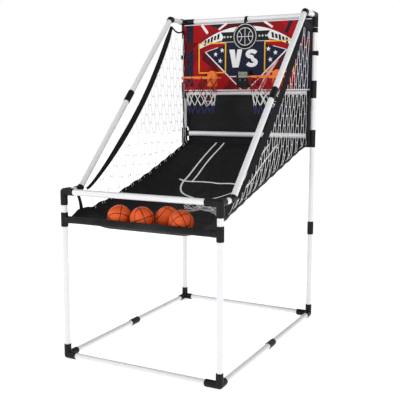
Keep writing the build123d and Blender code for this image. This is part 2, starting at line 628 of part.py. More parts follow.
def balls():
    """Four small basketballs lying in the tray."""
    centre_z = TRAY_FLOOR_Z + BALL_GAP + BALL_RADIUS
    for number, (x, y) in enumerate(BALL_PLACES, start=1):
        save(f"ball_{number}", Pos(x, y, centre_z) * Sphere(BALL_RADIUS))


os.makedirs("parts", exist_ok=True)
frame_fittings()
frame_tubes()
backboard()
hoops()
scorer()
soft_goods()
balls()
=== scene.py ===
import json
import math

import bmesh
import bpy
import numpy as np
from mathutils import Euler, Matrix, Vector, noise


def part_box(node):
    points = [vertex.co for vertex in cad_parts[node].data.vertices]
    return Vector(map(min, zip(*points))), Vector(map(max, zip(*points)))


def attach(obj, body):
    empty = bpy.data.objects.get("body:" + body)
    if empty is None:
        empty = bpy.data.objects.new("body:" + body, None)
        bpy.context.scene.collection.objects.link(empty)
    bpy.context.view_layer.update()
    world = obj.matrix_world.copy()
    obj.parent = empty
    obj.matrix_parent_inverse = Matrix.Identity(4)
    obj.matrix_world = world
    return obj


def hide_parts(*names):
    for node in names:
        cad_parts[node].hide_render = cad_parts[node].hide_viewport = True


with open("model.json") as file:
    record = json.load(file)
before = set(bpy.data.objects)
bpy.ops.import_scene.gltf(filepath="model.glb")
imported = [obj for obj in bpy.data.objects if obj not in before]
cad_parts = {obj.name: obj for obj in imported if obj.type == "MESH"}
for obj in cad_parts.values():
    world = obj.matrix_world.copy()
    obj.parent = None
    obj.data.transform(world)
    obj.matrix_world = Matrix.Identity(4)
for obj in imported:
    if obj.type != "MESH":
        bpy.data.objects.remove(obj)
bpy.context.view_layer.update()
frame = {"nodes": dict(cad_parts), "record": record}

# Everything is in metres, in the row frame: X across the game, -Y towards the player, Z up.

# ---- places read from the frame ----
BOARD_LOW, BOARD_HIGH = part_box("backboard_panel")
BOARD_FACE = BOARD_LOW.y
HEM_LOW, HEM_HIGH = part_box("tray_hem_tube")
HEM_Y = (HEM_LOW.y + HEM_HIGH.y) / 2
HEM_Z = (HEM_LOW.z + HEM_HIGH.z) / 2
TUBE_RADIUS = (HEM_HIGH.z - HEM_LOW.z) / 2
CURTAIN_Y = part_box("back_curtain")[0].y
RAMP_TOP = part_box("ramp_cloth")[1].z
SLANT_LOW, SLANT_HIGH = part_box("slanted_tubes_left")
BAR_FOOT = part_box("board_lower_crossbar")[0].z
CROSS_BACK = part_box("ramp_cross_tube")[1].y
POST_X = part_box("rear_post_tubes_right")[0].x + TUBE_RADIUS
REAR_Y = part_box("rear_post_tubes_right")[0].y + TUBE_RADIUS
RAIL_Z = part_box("front_rail_tube")[0].z + TUBE_RADIUS


# ---- camera, lights and stage ----
CAMERA_PLACE = (1.446, -2.782, 1.0675)
CAMERA_AZIMUTH = 27.402
CAMERA_ELEVATION = 7.907
CAMERA_ROLL = -0.08
CAMERA_LENS = 63.06


def make_camera():
    """Looks slightly down at the game from its front right."""
    data = bpy.data.cameras.new("camera")
    data.lens = CAMERA_LENS
    data.sensor_width = 36.0
    data.clip_end = 60.0
    camera = bpy.data.objects.new("camera", data)
    camera.location = CAMERA_PLACE
    tilt = math.radians(90.0 - CAMERA_ELEVATION)
    camera.rotation_euler = (tilt, math.radians(CAMERA_ROLL), math.radians(CAMERA_AZIMUTH))
    bpy.context.scene.collection.objects.link(camera)
    bpy.context.scene.camera = camera


def area_light(name, place, target, size, power):
    """A soft square lamp that points at a target."""
    data = bpy.data.lights.new(name, "AREA")
    data.shape = "SQUARE"
    data.size = size
    data.energy = power
    lamp = bpy.data.objects.new(name, data)
    lamp.location = place
    lamp.rotation_euler = (Vector(target) - Vector(place)).to_track_quat("-Z", "Y").to_euler()
    bpy.context.scene.collection.objects.link(lamp)


def make_studio():
    """A world that is white to the sides and dimmer overhead, two soft lamps and a pale floor."""
    scene = bpy.context.scene
    scene.view_settings.view_transform = "Standard"
    world = bpy.data.worlds.new("studio")
    world.use_nodes = True
    nodes = world.node_tree.nodes
    links = world.node_tree.links
    place = nodes.new("ShaderNodeTexCoord")
    split = nodes.new("ShaderNodeSeparateXYZ")
    fade = nodes.new("ShaderNodeMapRange")
    for name, number in (("From Min", 0.30), ("From Max", 0.75), ("To Min", 1.0), ("To Max", 0.22)):
        fade.inputs[name].default_value = number
    back = nodes["Background"]
    back.inputs["Color"].default_value = (1.0, 1.0, 1.0, 1.0)
    links.new(place.outputs["Generated"], split.inputs[0])
    links.new(split.outputs[2], fade.inputs["Value"])
    links.new(fade.outputs["Result"], back.inputs["Strength"])
    scene.world = world
    area_light("key_light", (-2.6, -2.6, 3.4), (0, 0, 0.8), 1.6, 44.0)
    area_light("fill_light", (3.2, -1.6, 2.2), (0, 0, 0.8), 1.6, 26.0)
    bpy.ops.mesh.primitive_plane_add(size=40.0, location=(0, 0, -0.0005))
    floor = bpy.context.object
    floor.name = "studio_floor"
    material = bpy.data.materials.new("floor_white")
    material.use_nodes = True
    shader = material.node_tree.nodes["Principled BSDF"]
    shader.inputs["Base Color"].default_value = (0.86, 0.86, 0.86, 1.0)
    shader.inputs["Roughness"].default_value = 0.9
    shader.inputs["Specular IOR Level"].default_value = 0.1
    shader.inputs["Emission Color"].default_value = (1.0, 1.0, 1.0, 1.0)
    shader.inputs["Emission Strength"].default_value = 0.75
    floor.data.materials.append(material)


# ---- procedural materials ----
class Paint:
    """One procedural material, built node by node."""

    def __init__(self, name, colour, roughness=0.5, **sockets):
        self.material = bpy.data.materials.new(name)
        self.material.use_nodes = True
        self.nodes = self.material.node_tree.nodes
        self.links = self.material.node_tree.links
        self.shader = self.nodes["Principled BSDF"]
        self.coords = self.nodes.new("ShaderNodeTexCoord").outputs["Object"]
        self.shader.inputs["Base Color"].default_value = (*colour, 1.0)
        self.shader.inputs["Roughness"].default_value = roughness
        self.height = None
        for socket, value in sockets.items():
            self.shader.inputs[socket.replace("_", " ")].default_value = value

    def value(self, operation, a, b=None):
        """A math node; a and b are sockets or numbers."""
        node = self.nodes.new("ShaderNodeMath")
        node.operation = operation
        for slot, item in enumerate((a,) if b is None else (a, b)):
            if isinstance(item, (int, float)):
                node.inputs[slot].default_value = item
            else:
                self.links.new(item, node.inputs[slot])
        return node.outputs[0]

    def times(self, first, *rest):
        """The product of two or more sockets or numbers."""
        for item in rest:
            first = self.value("MULTIPLY", first, item)
        return first

    def most(self, first, *rest):
        """The largest of two or more sockets."""
        for item in rest:
            first = self.value("MAXIMUM", first, item)
        return first

    def near(self, value, target, half):
        """1 where a value is within half of its target, and 0 elsewhere."""
        gap = self.value("ABSOLUTE", self.value("SUBTRACT", value, target))
        return self.value("LESS_THAN", gap, half)

    def noise(self, scale, detail=3.0, coords=None, rough=0.5):
        """Fractal noise from 0 to 1."""
        node = self.nodes.new("ShaderNodeTexNoise")
        node.inputs["Scale"].default_value = scale
        node.inputs["Detail"].default_value = detail
        node.inputs["Roughness"].default_value = rough
        self.links.new(coords or self.coords, node.inputs["Vector"])
        return node.outputs["Fac"]

    def cells(self, scale, feature="F1", coords=None):
        """The distance in Voronoi cells, from their points or their edges."""
        node = self.nodes.new("ShaderNodeTexVoronoi")
        node.feature = feature
        node.inputs["Scale"].default_value = scale
        self.links.new(coords or self.coords, node.inputs["Vector"])
        return node.outputs["Distance"]

    def band(self, scale, direction, coords=None):
        """A sine wave from 0 to 1 along one axis."""
        node = self.nodes.new("ShaderNodeTexWave")
        node.bands_direction = direction
        node.inputs["Scale"].default_value = scale
        self.links.new(coords or self.coords, node.inputs["Vector"])
        return node.outputs["Fac"]

    def remap(self, value, low, high, out_low, out_high):
        """Maps a value's range onto another, clamped."""
        node = self.nodes.new("ShaderNodeMapRange")
        self.links.new(value, node.inputs["Value"])
        for name, number in zip(("From Min", "From Max", "To Min", "To Max"),
                                (low, high, out_low, out_high)):
            node.inputs[name].default_value = number
        return node.outputs["Result"]

    def mix(self, factor, first, second):
        """Mixes two colours, each a colour or a socket."""
        node = self.nodes.new("ShaderNodeMix")
        node.data_type = "RGBA"
        self.links.new(factor, node.inputs["Factor"])
        for key, item in (("A", first), ("B", second)):
            socket = [s for s in node.inputs if s.name == key and s.type == "RGBA"][0]
            if isinstance(item, tuple):
                socket.default_value = (*item, 1.0)
            else:
                self.links.new(item, socket)
        return [s for s in node.outputs if s.type == "RGBA"][0]

    def axes(self, coords=None):
        """The three coordinates apart."""
        node = self.nodes.new("ShaderNodeSeparateXYZ")
        self.links.new(coords or self.coords, node.inputs[0])
        return node.outputs[0], node.outputs[1], node.outputs[2]

    def attribute(self, name):
        """A vector stored on the mesh."""
        node = self.nodes.new("ShaderNodeAttribute")
        node.attribute_name = name
        return node.outputs["Vector"]

    def colour(self, socket):
        """Drives the base colour."""
        self.links.new(socket, self.shader.inputs["Base Color"])

    def roughness(self, socket):
        """Drives the roughness."""
        self.links.new(socket, self.shader.inputs["Roughness"])

    def bump(self, height, distance):
        """Adds relief of a given depth in metres."""
        node = self.nodes.new("ShaderNodeBump")
        node.inputs["Strength"].default_value = 1.0
        node.inputs["Distance"].default_value = distance
        self.links.new(height, node.inputs["Height"])
        if self.height:
            self.links.new(self.height, node.inputs["Normal"])
        self.height = node.outputs["Normal"]
        self.links.new(self.height, self.shader.inputs["Normal"])


def painted_tube():
    """Glossy white paint on steel tube, with slight orange peel and a few scuffs."""
    p = Paint("white_tube_paint", (0.80, 0.80, 0.82), 0.28, Coat_Weight=0.35, Coat_Roughness=0.12)
    scuff = p.remap(p.noise(38.0, 6.0, rough=0.7), 0.66, 0.74, 0.0, 0.45)
    tone = p.mix(p.noise(5.0, 2.0), (0.80, 0.80, 0.825), (0.76, 0.765, 0.785))
    p.colour(p.mix(scuff, tone, (0.55, 0.55, 0.56)))
    p.roughness(p.remap(p.noise(26.0, 4.0), 0.3, 0.7, 0.20, 0.36))
    p.bump(p.noise(420.0, 2.0), 0.00004)
    return p.material


def moulded(name, dark, light, grain=900.0, low=0.34, high=0.52, gloss=0.16):
    """Moulded plastic: fine spark grain, slightly uneven gloss."""
    p = Paint(name, dark, 0.42, Specular_IOR_Level=gloss)
    p.colour(p.mix(p.remap(p.noise(30.0, 5.0), 0.4, 0.75, 0.0, 1.0), dark, light))
    p.roughness(p.remap(p.noise(55.0, 4.0), 0.3, 0.7, low, high))
    p.bump(p.noise(grain, 2.0), 0.00006)
    p.bump(p.noise(60.0, 2.0), 0.00012)
    return p.material


def zinc():
    """Zinc-plated steel."""
    p = Paint("zinc_plate", (0.55, 0.55, 0.57), 0.35, Metallic=1.0)
    p.colour(p.mix(p.noise(600.0, 2.0), (0.45, 0.45, 0.47), (0.66, 0.65, 0.62)))
    p.bump(p.noise(900.0, 3.0), 0.00003)
    return p.material


def powder_coat():
    """Orange powder coat on the rim wire."""
    p = Paint("rim_orange", (0.90, 0.20, 0.025), 0.38, Coat_Weight=0.1)
    worn = p.remap(p.noise(70.0, 5.0, rough=0.7), 0.66, 0.72, 0.0, 0.6)
    tone = p.mix(p.noise(14.0, 2.0), (1.00, 0.27, 0.05), (0.92, 0.21, 0.03))
    p.colour(p.mix(worn, tone, (0.60, 0.11, 0.02)))
    p.bump(p.noise(500.0, 2.0), 0.00008)
    return p.material


BAND_LEFT = (-0.334, -0.292)  # X of the dark band down the left of the board
BAND_LEFT_FOOT = 1.150        # Z where that band ends
BAND_RIGHT = 0.270            # X where the right band starts
PRINT_DEPTH = 0.0008          # how far behind the face the plain back starts


def board_ground():
    """Red printed front with darker diagonal beams and a dark band down each side; plain back."""
    p = Paint("board_red_print", (0.30, 0.002, 0.005), 0.42, Specular_IOR_Level=0.12)
    x, y, z = p.axes()
    side = p.value("ABSOLUTE", x)
    slant = p.value("ADD", p.times(side, 0.9), p.times(z, 0.75))
    beams = p.value("SINE", p.times(slant, 42.0))
    shade = p.times(p.remap(beams, 0.1, 0.7, 0.0, 0.85), p.remap(z, 1.16, 1.40, 1.0, 0.45))
    red = p.mix(shade, (0.36, 0.0022, 0.005), (0.11, 0.001, 0.004))
    weave = p.remap(p.noise(160.0, 5.0), 0.42, 0.62, 0.0, 1.0)
    left = p.times(p.value("LESS_THAN", x, BAND_LEFT[1]), p.value("GREATER_THAN", x, BAND_LEFT[0]),
                   p.value("GREATER_THAN", z, BAND_LEFT_FOOT))
    right = p.value("GREATER_THAN", x, BAND_RIGHT)
    band_tone = p.mix(weave, (0.006, 0.007, 0.018), (0.022, 0.020, 0.050))
    dots = p.remap(p.cells(420.0), 0.15, 0.30, 0.08, 0.0)
    red = p.mix(dots, red, (0.55, 0.02, 0.02))
    printed = p.mix(p.most(left, right), red, band_tone)
    back = p.value("GREATER_THAN", y, BOARD_FACE + PRINT_DEPTH)
    p.colour(p.mix(back, printed, p.mix(weave, (0.011, 0.011, 0.012), (0.020, 0.020, 0.022))))
    p.bump(p.noise(240.0, 2.0), 0.00003)
    return p.material


def ink(name, colour, speck):
    """Screen ink: nearly flat, with a fine halftone fleck; one of them is a painted reflection
    streak.
    """
    p = Paint(name, colour, 0.42, Specular_IOR_Level=0.12)
    fleck = p.remap(p.cells(700.0), 0.05, 0.45, 0.5, 0.0)
    p.colour(p.mix(fleck, colour, speck))
    p.roughness(p.remap(p.noise(90.0, 2.0), 0.3, 0.7, 0.36, 0.48))
    return p.material


COURT_OUTER = 0.170           # X of the outer court lines, either side
COURT_INNER = 0.126           # X of the inner ones
COURT_LINE = 0.0041           # half the width of a printed line
COURT_TOP = 0.5265            # Y where the straight lines start
COURT_CROSS = 0.170           # Y of the line across, where they end
COURT_CROSS_HALF = 0.196      # half its length
COURT_ARC_END = 0.020         # Y of the arc's foot


def court_cloth(name, printed):
    """Black plain-woven polyester; the court carries printed white lines on its upper side, and the
    curtain paler patches of painted highlight.
    """
    p = Paint(name, (0.009, 0.009, 0.010), 0.70, Sheen_Weight=0.02, Specular_IOR_Level=0.10)
    flat = p.attribute("flat")
    tone = p.mix(p.noise(9.0, 4.0), (0.0065, 0.0065, 0.0075), (0.012, 0.012, 0.0135))
    # the curtain cloth gets bluish-grey paler patches: painted highlights of its soft folds
    if not printed:
        tone = p.mix(p.remap(p.noise(5.0, 3.0), 0.40, 0.68, 0.0, 1.0), tone, (0.028, 0.028, 0.034))
    weave = p.most(p.band(95.0, "X", flat), p.band(95.0, "Y", flat))
    tone = p.mix(p.remap(weave, 0.3, 1.0, 0.0, 0.5), tone, (0.018, 0.018, 0.020))
    if printed:
        x, y, _ = p.axes(flat)
        side = p.value("ABSOLUTE", x)
        lane = p.times(p.value("GREATER_THAN", y, COURT_CROSS), p.value("LESS_THAN", y, COURT_TOP))
        outer = p.times(p.near(side, COURT_OUTER, COURT_LINE), lane)
        inner = p.times(p.near(side, COURT_INNER, COURT_LINE), lane)
        drop = p.value("DIVIDE", p.value("SUBTRACT", COURT_CROSS, y), COURT_CROSS - COURT_ARC_END)
        across = p.value("DIVIDE", side, COURT_OUTER)
        reach = p.value("SQRT", p.value("ADD", p.times(drop, drop), p.times(across, across)))
        arc = p.times(p.near(reach, 1.0, COURT_LINE / COURT_OUTER),
                      p.value("LESS_THAN", y, COURT_CROSS))
        cross = p.times(p.near(y, COURT_CROSS, COURT_LINE * 1.15),
                        p.value("LESS_THAN", side, COURT_CROSS_HALF))
        facing = p.nodes.new("ShaderNodeTexCoord").outputs["Normal"]
        upper = p.value("GREATER_THAN", p.axes(facing)[2], 0.0)
        worn = p.remap(p.noise(120.0, 4.0), 0.30, 0.42, 0.85, 1.0)
        line = p.times(p.most(outer, inner, arc, cross), upper, worn)
        tone = p.mix(line, tone, (0.92, 0.92, 0.92))
    p.colour(tone)
    p.roughness(p.remap(p.noise(30.0, 3.0), 0.3, 0.7, 0.48, 0.66))
    p.bump(weave, 0.00012)
    p.bump(p.noise(34.0, 4.0), 0.0009)
    return p.material


def twisted_cord(name, colour, shadow):
    """Knotted net cord: strands that wind round the cord."""
    p = Paint(name, colour, 0.7, Sheen_Weight=0.1, Specular_IOR_Level=0.2)
    strand = p.band(260.0, "DIAGONAL")
    p.colour(p.mix(p.remap(strand, 0.0, 0.45, 0.65, 0.0), colour, shadow))
    p.roughness(p.remap(p.noise(300.0, 2.0), 0.3, 0.7, 0.6, 0.8))
    p.bump(strand, 0.0003)
    return p.material


def webbing():
    """Black ribbed webbing."""
    p = Paint("black_webbing", (0.008, 0.008, 0.009), 0.70,
              Sheen_Weight=0.02, Specular_IOR_Level=0.1)
    ribs = p.band(150.0, "Z")
    cross = p.band(190.0, "DIAGONAL")
    p.colour(p.mix(p.most(ribs, cross), (0.005, 0.005, 0.006), (0.014, 0.014, 0.016)))
    p.bump(ribs, 0.0002)
    p.bump(cross, 0.00012)
    return p.material


SEAM_OUT = 0.50               # where the side seams cross the middle, on the unit ball
SEAM_BOW = 0.42               # how much they bow outwards


def ball_rubber():
    """Pebbled orange rubber with black seams, from coordinates on the unit ball."""
    p = Paint("ball_rubber", (0.80, 0.12, 0.012), 0.36, Specular_IOR_Level=0.35)
    local = p.attribute("unit_ball")
    x, y, z = p.axes(local)
    straight = p.value("MINIMUM", p.value("ABSOLUTE", x), p.value("ABSOLUTE", z))
    bow = p.value("ADD", SEAM_OUT, p.times(z, z, SEAM_BOW))
    bowed = p.value("ABSOLUTE", p.value("SUBTRACT", p.value("ABSOLUTE", y), bow))
    seam = p.value("MINIMUM", straight, bowed)
    black = p.remap(seam, 0.026, 0.044, 1.0, 0.0)
    tone = p.mix(p.noise(3.0, 3.0, local), (0.97, 0.150, 0.014), (0.78, 0.070, 0.006))
    p.colour(p.mix(black, tone, (0.022, 0.008, 0.006)))
    pebble = p.cells(34.0, coords=local)
    p.roughness(p.remap(pebble, 0.0, 0.6, 0.30, 0.46))
    clear = p.remap(seam, 0.02, 0.05, 0.0, 1.0)
    p.bump(p.times(p.remap(pebble, 0.0, 0.55, 1.0, 0.0), clear), 0.0005)
    return p.material


def display_glass():
    """Clear window with faint scratches."""
    p = Paint("display_glass", (0.95, 0.97, 0.95), 0.08, Transmission_Weight=0.92, IOR=1.45)
    p.roughness(p.remap(p.noise(220.0, 6.0, rough=0.8), 0.55, 0.75, 0.04, 0.25))
    return p.material


def display_panel():
    """Grey-green liquid crystal with a faint grid."""
    p = Paint("display_panel", (0.24, 0.27, 0.21), 0.35)
    grid = p.most(p.band(260.0, "X"), p.band(260.0, "Z"))
    p.colour(p.mix(p.remap(grid, 0.85, 1.0, 0.0, 0.6), (0.25, 0.285, 0.215), (0.17, 0.20, 0.15)))
    return p.material


def circuit_green():
    """Solder mask with tracks."""
    p = Paint("circuit_green", (0.01, 0.10, 0.03), 0.35)
    p.colour(p.mix(p.remap(p.cells(260.0, "DISTANCE_TO_EDGE"), 0.0, 0.06, 1.0, 0.0),
                   (0.008, 0.09, 0.025), (0.02, 0.20, 0.06)))
    return p.material


def cell_wrap():
    """Plain wrap of a dry cell, dark with a copper end."""
    p = Paint("cell_wrap", (0.04, 0.04, 0.045), 0.3, Metallic=0.6)
    x, _, _ = p.axes()
    copper = p.remap(x, 0.008, 0.0085, 0.0, 1.0)
    p.colour(p.mix(copper, (0.035, 0.035, 0.04), (0.55, 0.25, 0.10)))
    p.bump(p.noise(300.0, 2.0), 0.00003)
    return p.material


WHITE_TUBE = painted_tube()
FITTING = moulded("fitting_black", (0.007, 0.007, 0.008), (0.012, 0.012, 0.013))
SCORER_BLACK = moulded("scorer_black", (0.006, 0.006, 0.007), (0.011, 0.012, 0.012), 1400.0)
BRACKET = moulded("bracket_orange", (0.92, 0.20, 0.022), (0.84, 0.15, 0.015),
                  700.0, 0.30, 0.45, 0.4)
KEY_GREY = moulded("key_grey", (0.10, 0.11, 0.11), (0.14, 0.15, 0.15), 1200.0)
ZINC = zinc()
RIM = powder_coat()
BOARD = board_ground()
INK_WHITE = ink("ink_white", (0.78, 0.78, 0.79), (0.62, 0.62, 0.66))
INK_NAVY = ink("ink_navy", (0.008, 0.010, 0.030), (0.020, 0.024, 0.060))
INK_YELLOW = ink("ink_yellow", (0.80, 0.47, 0.025), (0.60, 0.33, 0.02))
INK_BLACK = ink("ink_black", (0.010, 0.010, 0.011), (0.030, 0.030, 0.032))
INK_MAROON = ink("ink_maroon", (0.085, 0.0015, 0.006), (0.14, 0.003, 0.009))
# painted reflection: a pale pink streak of gloss, laid on the board as flat ink
PAINTED_REFLECTION_INK = ink("painted_reflection_streak", (0.72, 0.36, 0.40), (0.86, 0.62, 0.64))
COURT = court_cloth("court_cloth", True)
# the curtain cloth carries painted highlights in paler patches
CURTAIN = court_cloth("curtain_cloth", False)
CORD_WHITE = twisted_cord("cord_white", (0.90, 0.90, 0.91), (0.66, 0.66, 0.68))
CORD_RED = twisted_cord("cord_red", (0.40, 0.010, 0.014), (0.20, 0.004, 0.008))
CORD_BLUE = twisted_cord("cord_blue", (0.024, 0.034, 0.150), (0.010, 0.014, 0.060))
CORD_BLACK = twisted_cord("thread_black", (0.020, 0.020, 0.022), (0.008, 0.008, 0.009))
WEBBING = webbing()
BALL = ball_rubber()


def finish_cad_nodes():
    """Gives every CAD node that stays in view its procedural material."""
    by_slot = {
        "white_tube": WHITE_TUBE,
        "fitting": FITTING,
        "board": BOARD,
        "steel": ZINC,
        "rim": RIM,
        "bracket": BRACKET,
        "scorer_plastic": SCORER_BLACK,
        "button": KEY_GREY,
        "window": display_glass(),
        "lcd": display_panel(),
        "circuit": circuit_green(),
        "battery": cell_wrap(),
        "webbing": WEBBING,
    }
    for part in frame["record"]["subparts"]:
        material = by_slot.get(part["material_slot"])
        if material is None:
            continue
        node = frame["nodes"][part["node"]]
        for slot in node.material_slots:
            slot.material = material


# ---- mesh building ----
class Mesher:
    """Collects faces for one piece."""

    def __init__(self):
        self.points = []
        self.faces = []

    def add(self, points, faces):
        """Adds points and the faces between them."""
        base = len(self.points)
        self.points += [tuple(p) for p in points]
        self.faces += [tuple(base + i for i in face) for face in faces]

    def cord(self, path, radius, sides=6, closed=False):
        """A round cord along a list of points."""
        path = [Vector(p) for p in path]
        count = len(path)
        rings = []
        normal = None
        for i, point in enumerate(path):
            if closed:
                along = path[(i + 1) % count] - path[i - 1]
            else:
                along = path[min(i + 1, count - 1)] - path[max(i - 1, 0)]
            along = along.normalized() if along.length > 1e-9 else Vector((0, 0, 1))
            if normal is None:
                normal = along.orthogonal().normalized()
            normal = (normal - along * normal.dot(along)).normalized()
            other = along.cross(normal)
            for k in range(sides):
                turn = 2 * math.pi * k / sides
                rings.append(point + (normal * math.cos(turn) + other * math.sin(turn)) * radius)
        faces = []
        spans = count if closed else count - 1
        for i in range(spans):
            j = (i + 1) % count
            for k in range(sides):
                m = (k + 1) % sides
                faces.append((i * sides + k, i * sides + m, j * sides + m, j * sides + k))
        if not closed:
            faces.append(tuple(reversed(range(sides))))
            faces.append(tuple((count - 1) * sides + k for k in range(sides)))
        self.add(rings, faces)

    def ribbon(self, path, across, width, thickness):
        """A flat strap along a path; across points along its width, a function of the share run."""
        path = [Vector(p) for p in path]
        count = len(path)
        points = []
        for i, point in enumerate(path):
            share = i / (count - 1)
            along = (path[min(i + 1, count - 1)] - path[max(i - 1, 0)]).normalized()
            side = Vector(across)
            side = (side - along * side.dot(along)).normalized()
            up = along.cross(side)
            for a, b in ((-1, -1), (1, -1), (1, 1), (-1, 1)):
                points.append(point + side * (a * width(share) / 2) + up * (b * thickness / 2))
        faces = [(3, 2, 1, 0)]
        for i in range(count - 1):
            for k in range(4):
                m = (k + 1) % 4
                faces.append((i * 4 + k, i * 4 + m, i * 4 + 4 + m, i * 4 + 4 + k))
        last = (count - 1) * 4
        faces.append((last, last + 1, last + 2, last + 3))
        self.add(points, faces)

    def panel(self, outline, front, back):
        """A thin flat print on the board: outline is a list of (x, z), seen from -Y."""
        count = len(outline)
        points = [(x, front, z) for x, z in outline] + [(x, back, z) for x, z in outline]
        faces = [tuple(range(count)), tuple(reversed(range(count, 2 * count)))]
        for i in range(count):
            j = (i + 1) % count
            faces.append((i, i + count, j + count, j))
        self.add(points, faces)

    def build(self, name, material, slot, body="frame", smooth=True):
        """Makes the piece, which rides on its body."""
        mesh = bpy.data.meshes.new(name)
        mesh.from_pydata(self.points, [], self.faces)
        mesh.materials.append(material)
        mesh.polygons.foreach_set("use_smooth", [smooth] * len(self.faces))
        mesh.validate()
        mesh.update()
        piece = bpy.data.objects.new(name, mesh)
        bpy.context.scene.collection.objects.link(piece)
        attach(piece, body)
        return piece


def recalculate(piece):
    """Turns every face of a closed piece outwards."""
    work = bmesh.new()
    work.from_mesh(piece.data)
    bmesh.ops.recalc_face_normals(work, faces=work.faces)
    work.to_mesh(piece.data)
    work.free()


def wander(point, scale, seed):
    """Smooth noise from about -1 to 1, the same on every run."""
    return noise.noise(Vector(point) * scale + Vector((seed, seed * 1.7, -seed)))


def clamp(value):
    """The value, held between 0 and 1."""
    return min(max(value, 0.0), 1.0)


def ring(centre, across, up, radius, count=28):
    """Points round a centre; the last one lies on the first."""
    turns = [2 * math.pi * k / count for k in range(count + 1)]
    return [centre + (across * math.cos(turn) + up * math.sin(turn)) * radius for turn in turns]


X_AXIS, Y_AXIS, Z_AXIS = Vector((1, 0, 0)), Vector((0, 1, 0)), Vector((0, 0, 1))


# ---- cloth ----
COURT_REAR = 0.5275           # Y of the court's rear edge
MIDDLE_STATIONS = [           # (y, z) down the middle of the court, hem first
    (HEM_Y + 0.0132, HEM_Z - 0.0025),
    (-0.484, 0.5690),
    (-0.463, 0.5612),
    (-0.372, 0.5612),
    (-0.300, 0.5660),
    (-0.150, 0.5900),
    (0.006, 0.6300),
    (0.170, 0.6930),
    (0.340, 0.7790),
    (COURT_REAR, 0.8620),
]
EDGE_REAR = [(0.200, 0.763), (0.350, 0.808), (0.505, 0.857), (COURT_REAR, 0.861)]
EDGE_STATIONS = {             # (y, z) along the foot of each side hem, front to rear
    -1: [(-0.502, 0.598), (-0.494, 0.603), (-0.446, 0.613), (-0.380, 0.611), (-0.326, 0.622),
         (-0.263, 0.634), (-0.100, 0.678), (0.057, 0.721)] + EDGE_REAR,
    1: [(-0.502, 0.600), (-0.450, 0.609), (-0.390, 0.620), (-0.300, 0.640), (-0.240, 0.654),
        (-0.100, 0.686), (0.057, 0.724)] + EDGE_REAR,
}
EDGE_HALF_ENDS = 0.330        # half the court's width at both ends
EDGE_PULL = 0.030             # the side edges bow in by this much
FLAP = 0.016                  # turned-up hem along each side edge


def smooth_curve(stations, y):
    """Height at y on a smooth curve through (y, z) stations."""
    ys = [s[0] for s in stations]
    zs = [s[1] for s in stations]
    if y <= ys[0]:
        return zs[0]
    if y >= ys[-1]:
        return zs[-1]
    i = max(k for k in range(len(ys) - 1) if ys[k] <= y)

    def slope(k):
        if k in (0, len(ys) - 1):
            a, b = (0, 1) if k == 0 else (k - 1, k)
            return (zs[b] - zs[a]) / (ys[b] - ys[a])
        left = (zs[k] - zs[k - 1]) / (ys[k] - ys[k - 1])
        right = (zs[k + 1] - zs[k]) / (ys[k + 1] - ys[k])
        if left * right <= 0:
            return 0.0
        return 2 * left * right / (left + right)

    h = ys[i + 1] - ys[i]
    t = (y - ys[i]) / h
    a = 2 * t**3 - 3 * t**2 + 1
    b = t**3 - 2 * t**2 + t
    c = -2 * t**3 + 3 * t**2
    d = t**3 - t**2
    return a * zs[i] + b * h * slope(i) + c * zs[i + 1] + d * h * slope(i + 1)


def edge_half(y):
    """Half the width of the court cloth at y."""
    t = clamp((y - HEM_Y) / (0.51 - HEM_Y))
    return EDGE_HALF_ENDS - EDGE_PULL * math.sin(math.pi * t) ** 0.8


def hem_top(side, y):
    """The top of the turned-up side hem at y."""
    ends = clamp((COURT_REAR - y) / 0.05) * clamp((y - HEM_Y - 0.02) / 0.04)
    edge = court_point(side, y)
    return edge + Vector((side * 0.004, 0, FLAP * (0.3 + 0.7 * ends)))


def court_point(across, y):
    """A point of the court cloth; across runs from -1 to 1 between the side edges."""
    half = edge_half(y)
    middle = smooth_curve(MIDDLE_STATIONS, y)
    edge = smooth_curve(EDGE_STATIONS[1 if across > 0 else -1], y)
    share = abs(across)
    rise = max(0.0, (share - 0.52) / 0.48) ** 1.5
    x = across * half
    z = middle + (edge - middle) * rise
    calm = clamp((y + 0.30) / 0.12)
    side = clamp((share - 0.70) / 0.25)
    ends = clamp((COURT_REAR - y) / 0.05) * clamp((y - HEM_Y - 0.03) / 0.05)
    fold = wander((x * 2.2, y * 0.9, 0.0), 5.0, 3.1) * 0.0035
    fold += wander((x * 5.0, y * 2.0, 0.0), 6.0, 8.3) * 0.0018
    # the right side rides up a little where the ramp meets the tray
    if across > 0:
        fold += 0.012 * math.exp(-(((y - 0.05) / 0.08) ** 2) - ((share - 0.45) / 0.22) ** 2)
    pucker = math.sin((y + 0.02 * wander((x, y, 0), 4.0, 2.0)) * 74.0) * 0.0022 * side
    z += (fold * max(calm, side * 0.8) + pucker) * ends
    corner = math.exp(-(((y - 0.50) / 0.10) ** 2)) * side
    z += corner * 0.006 * wander((x * 3.0, y, 0.0), 22.0, 5.5)
    return Vector((x, y, z))


def grid_piece(name, rows, columns, place, flat, material, thickness):
    """A cloth grid; place and flat give each vertex its point and its flat coordinate."""
    shares = [(i / columns, j / rows) for j in range(rows + 1) for i in range(columns + 1)]
    points = [place(u, v) for u, v in shares]
    flats = [flat(u, v) for u, v in shares]
    faces = []
    for j in range(rows):
        for i in range(columns):
            a = j * (columns + 1) + i
            faces.append((a, a + 1, a + columns + 2, a + columns + 1))
    m = Mesher()
    m.add(points, faces)
    piece = m.build(name, material, slot="cloth")
    store_vectors(piece, "flat", flats)
    solid = piece.modifiers.new("thickness", "SOLIDIFY")
    solid.thickness = thickness
    solid.offset = -1.0
    return piece


def store_vectors(piece, name, vectors):
    """Keeps one vector per vertex for the material to read."""
    layer = piece.data.attributes.new(name, "FLOAT_VECTOR", "POINT")
    layer.data.foreach_set("vector", np.array(vectors, dtype=np.float32).ravel())


COURT_ROWS = 150
COURT_COLUMNS = 84


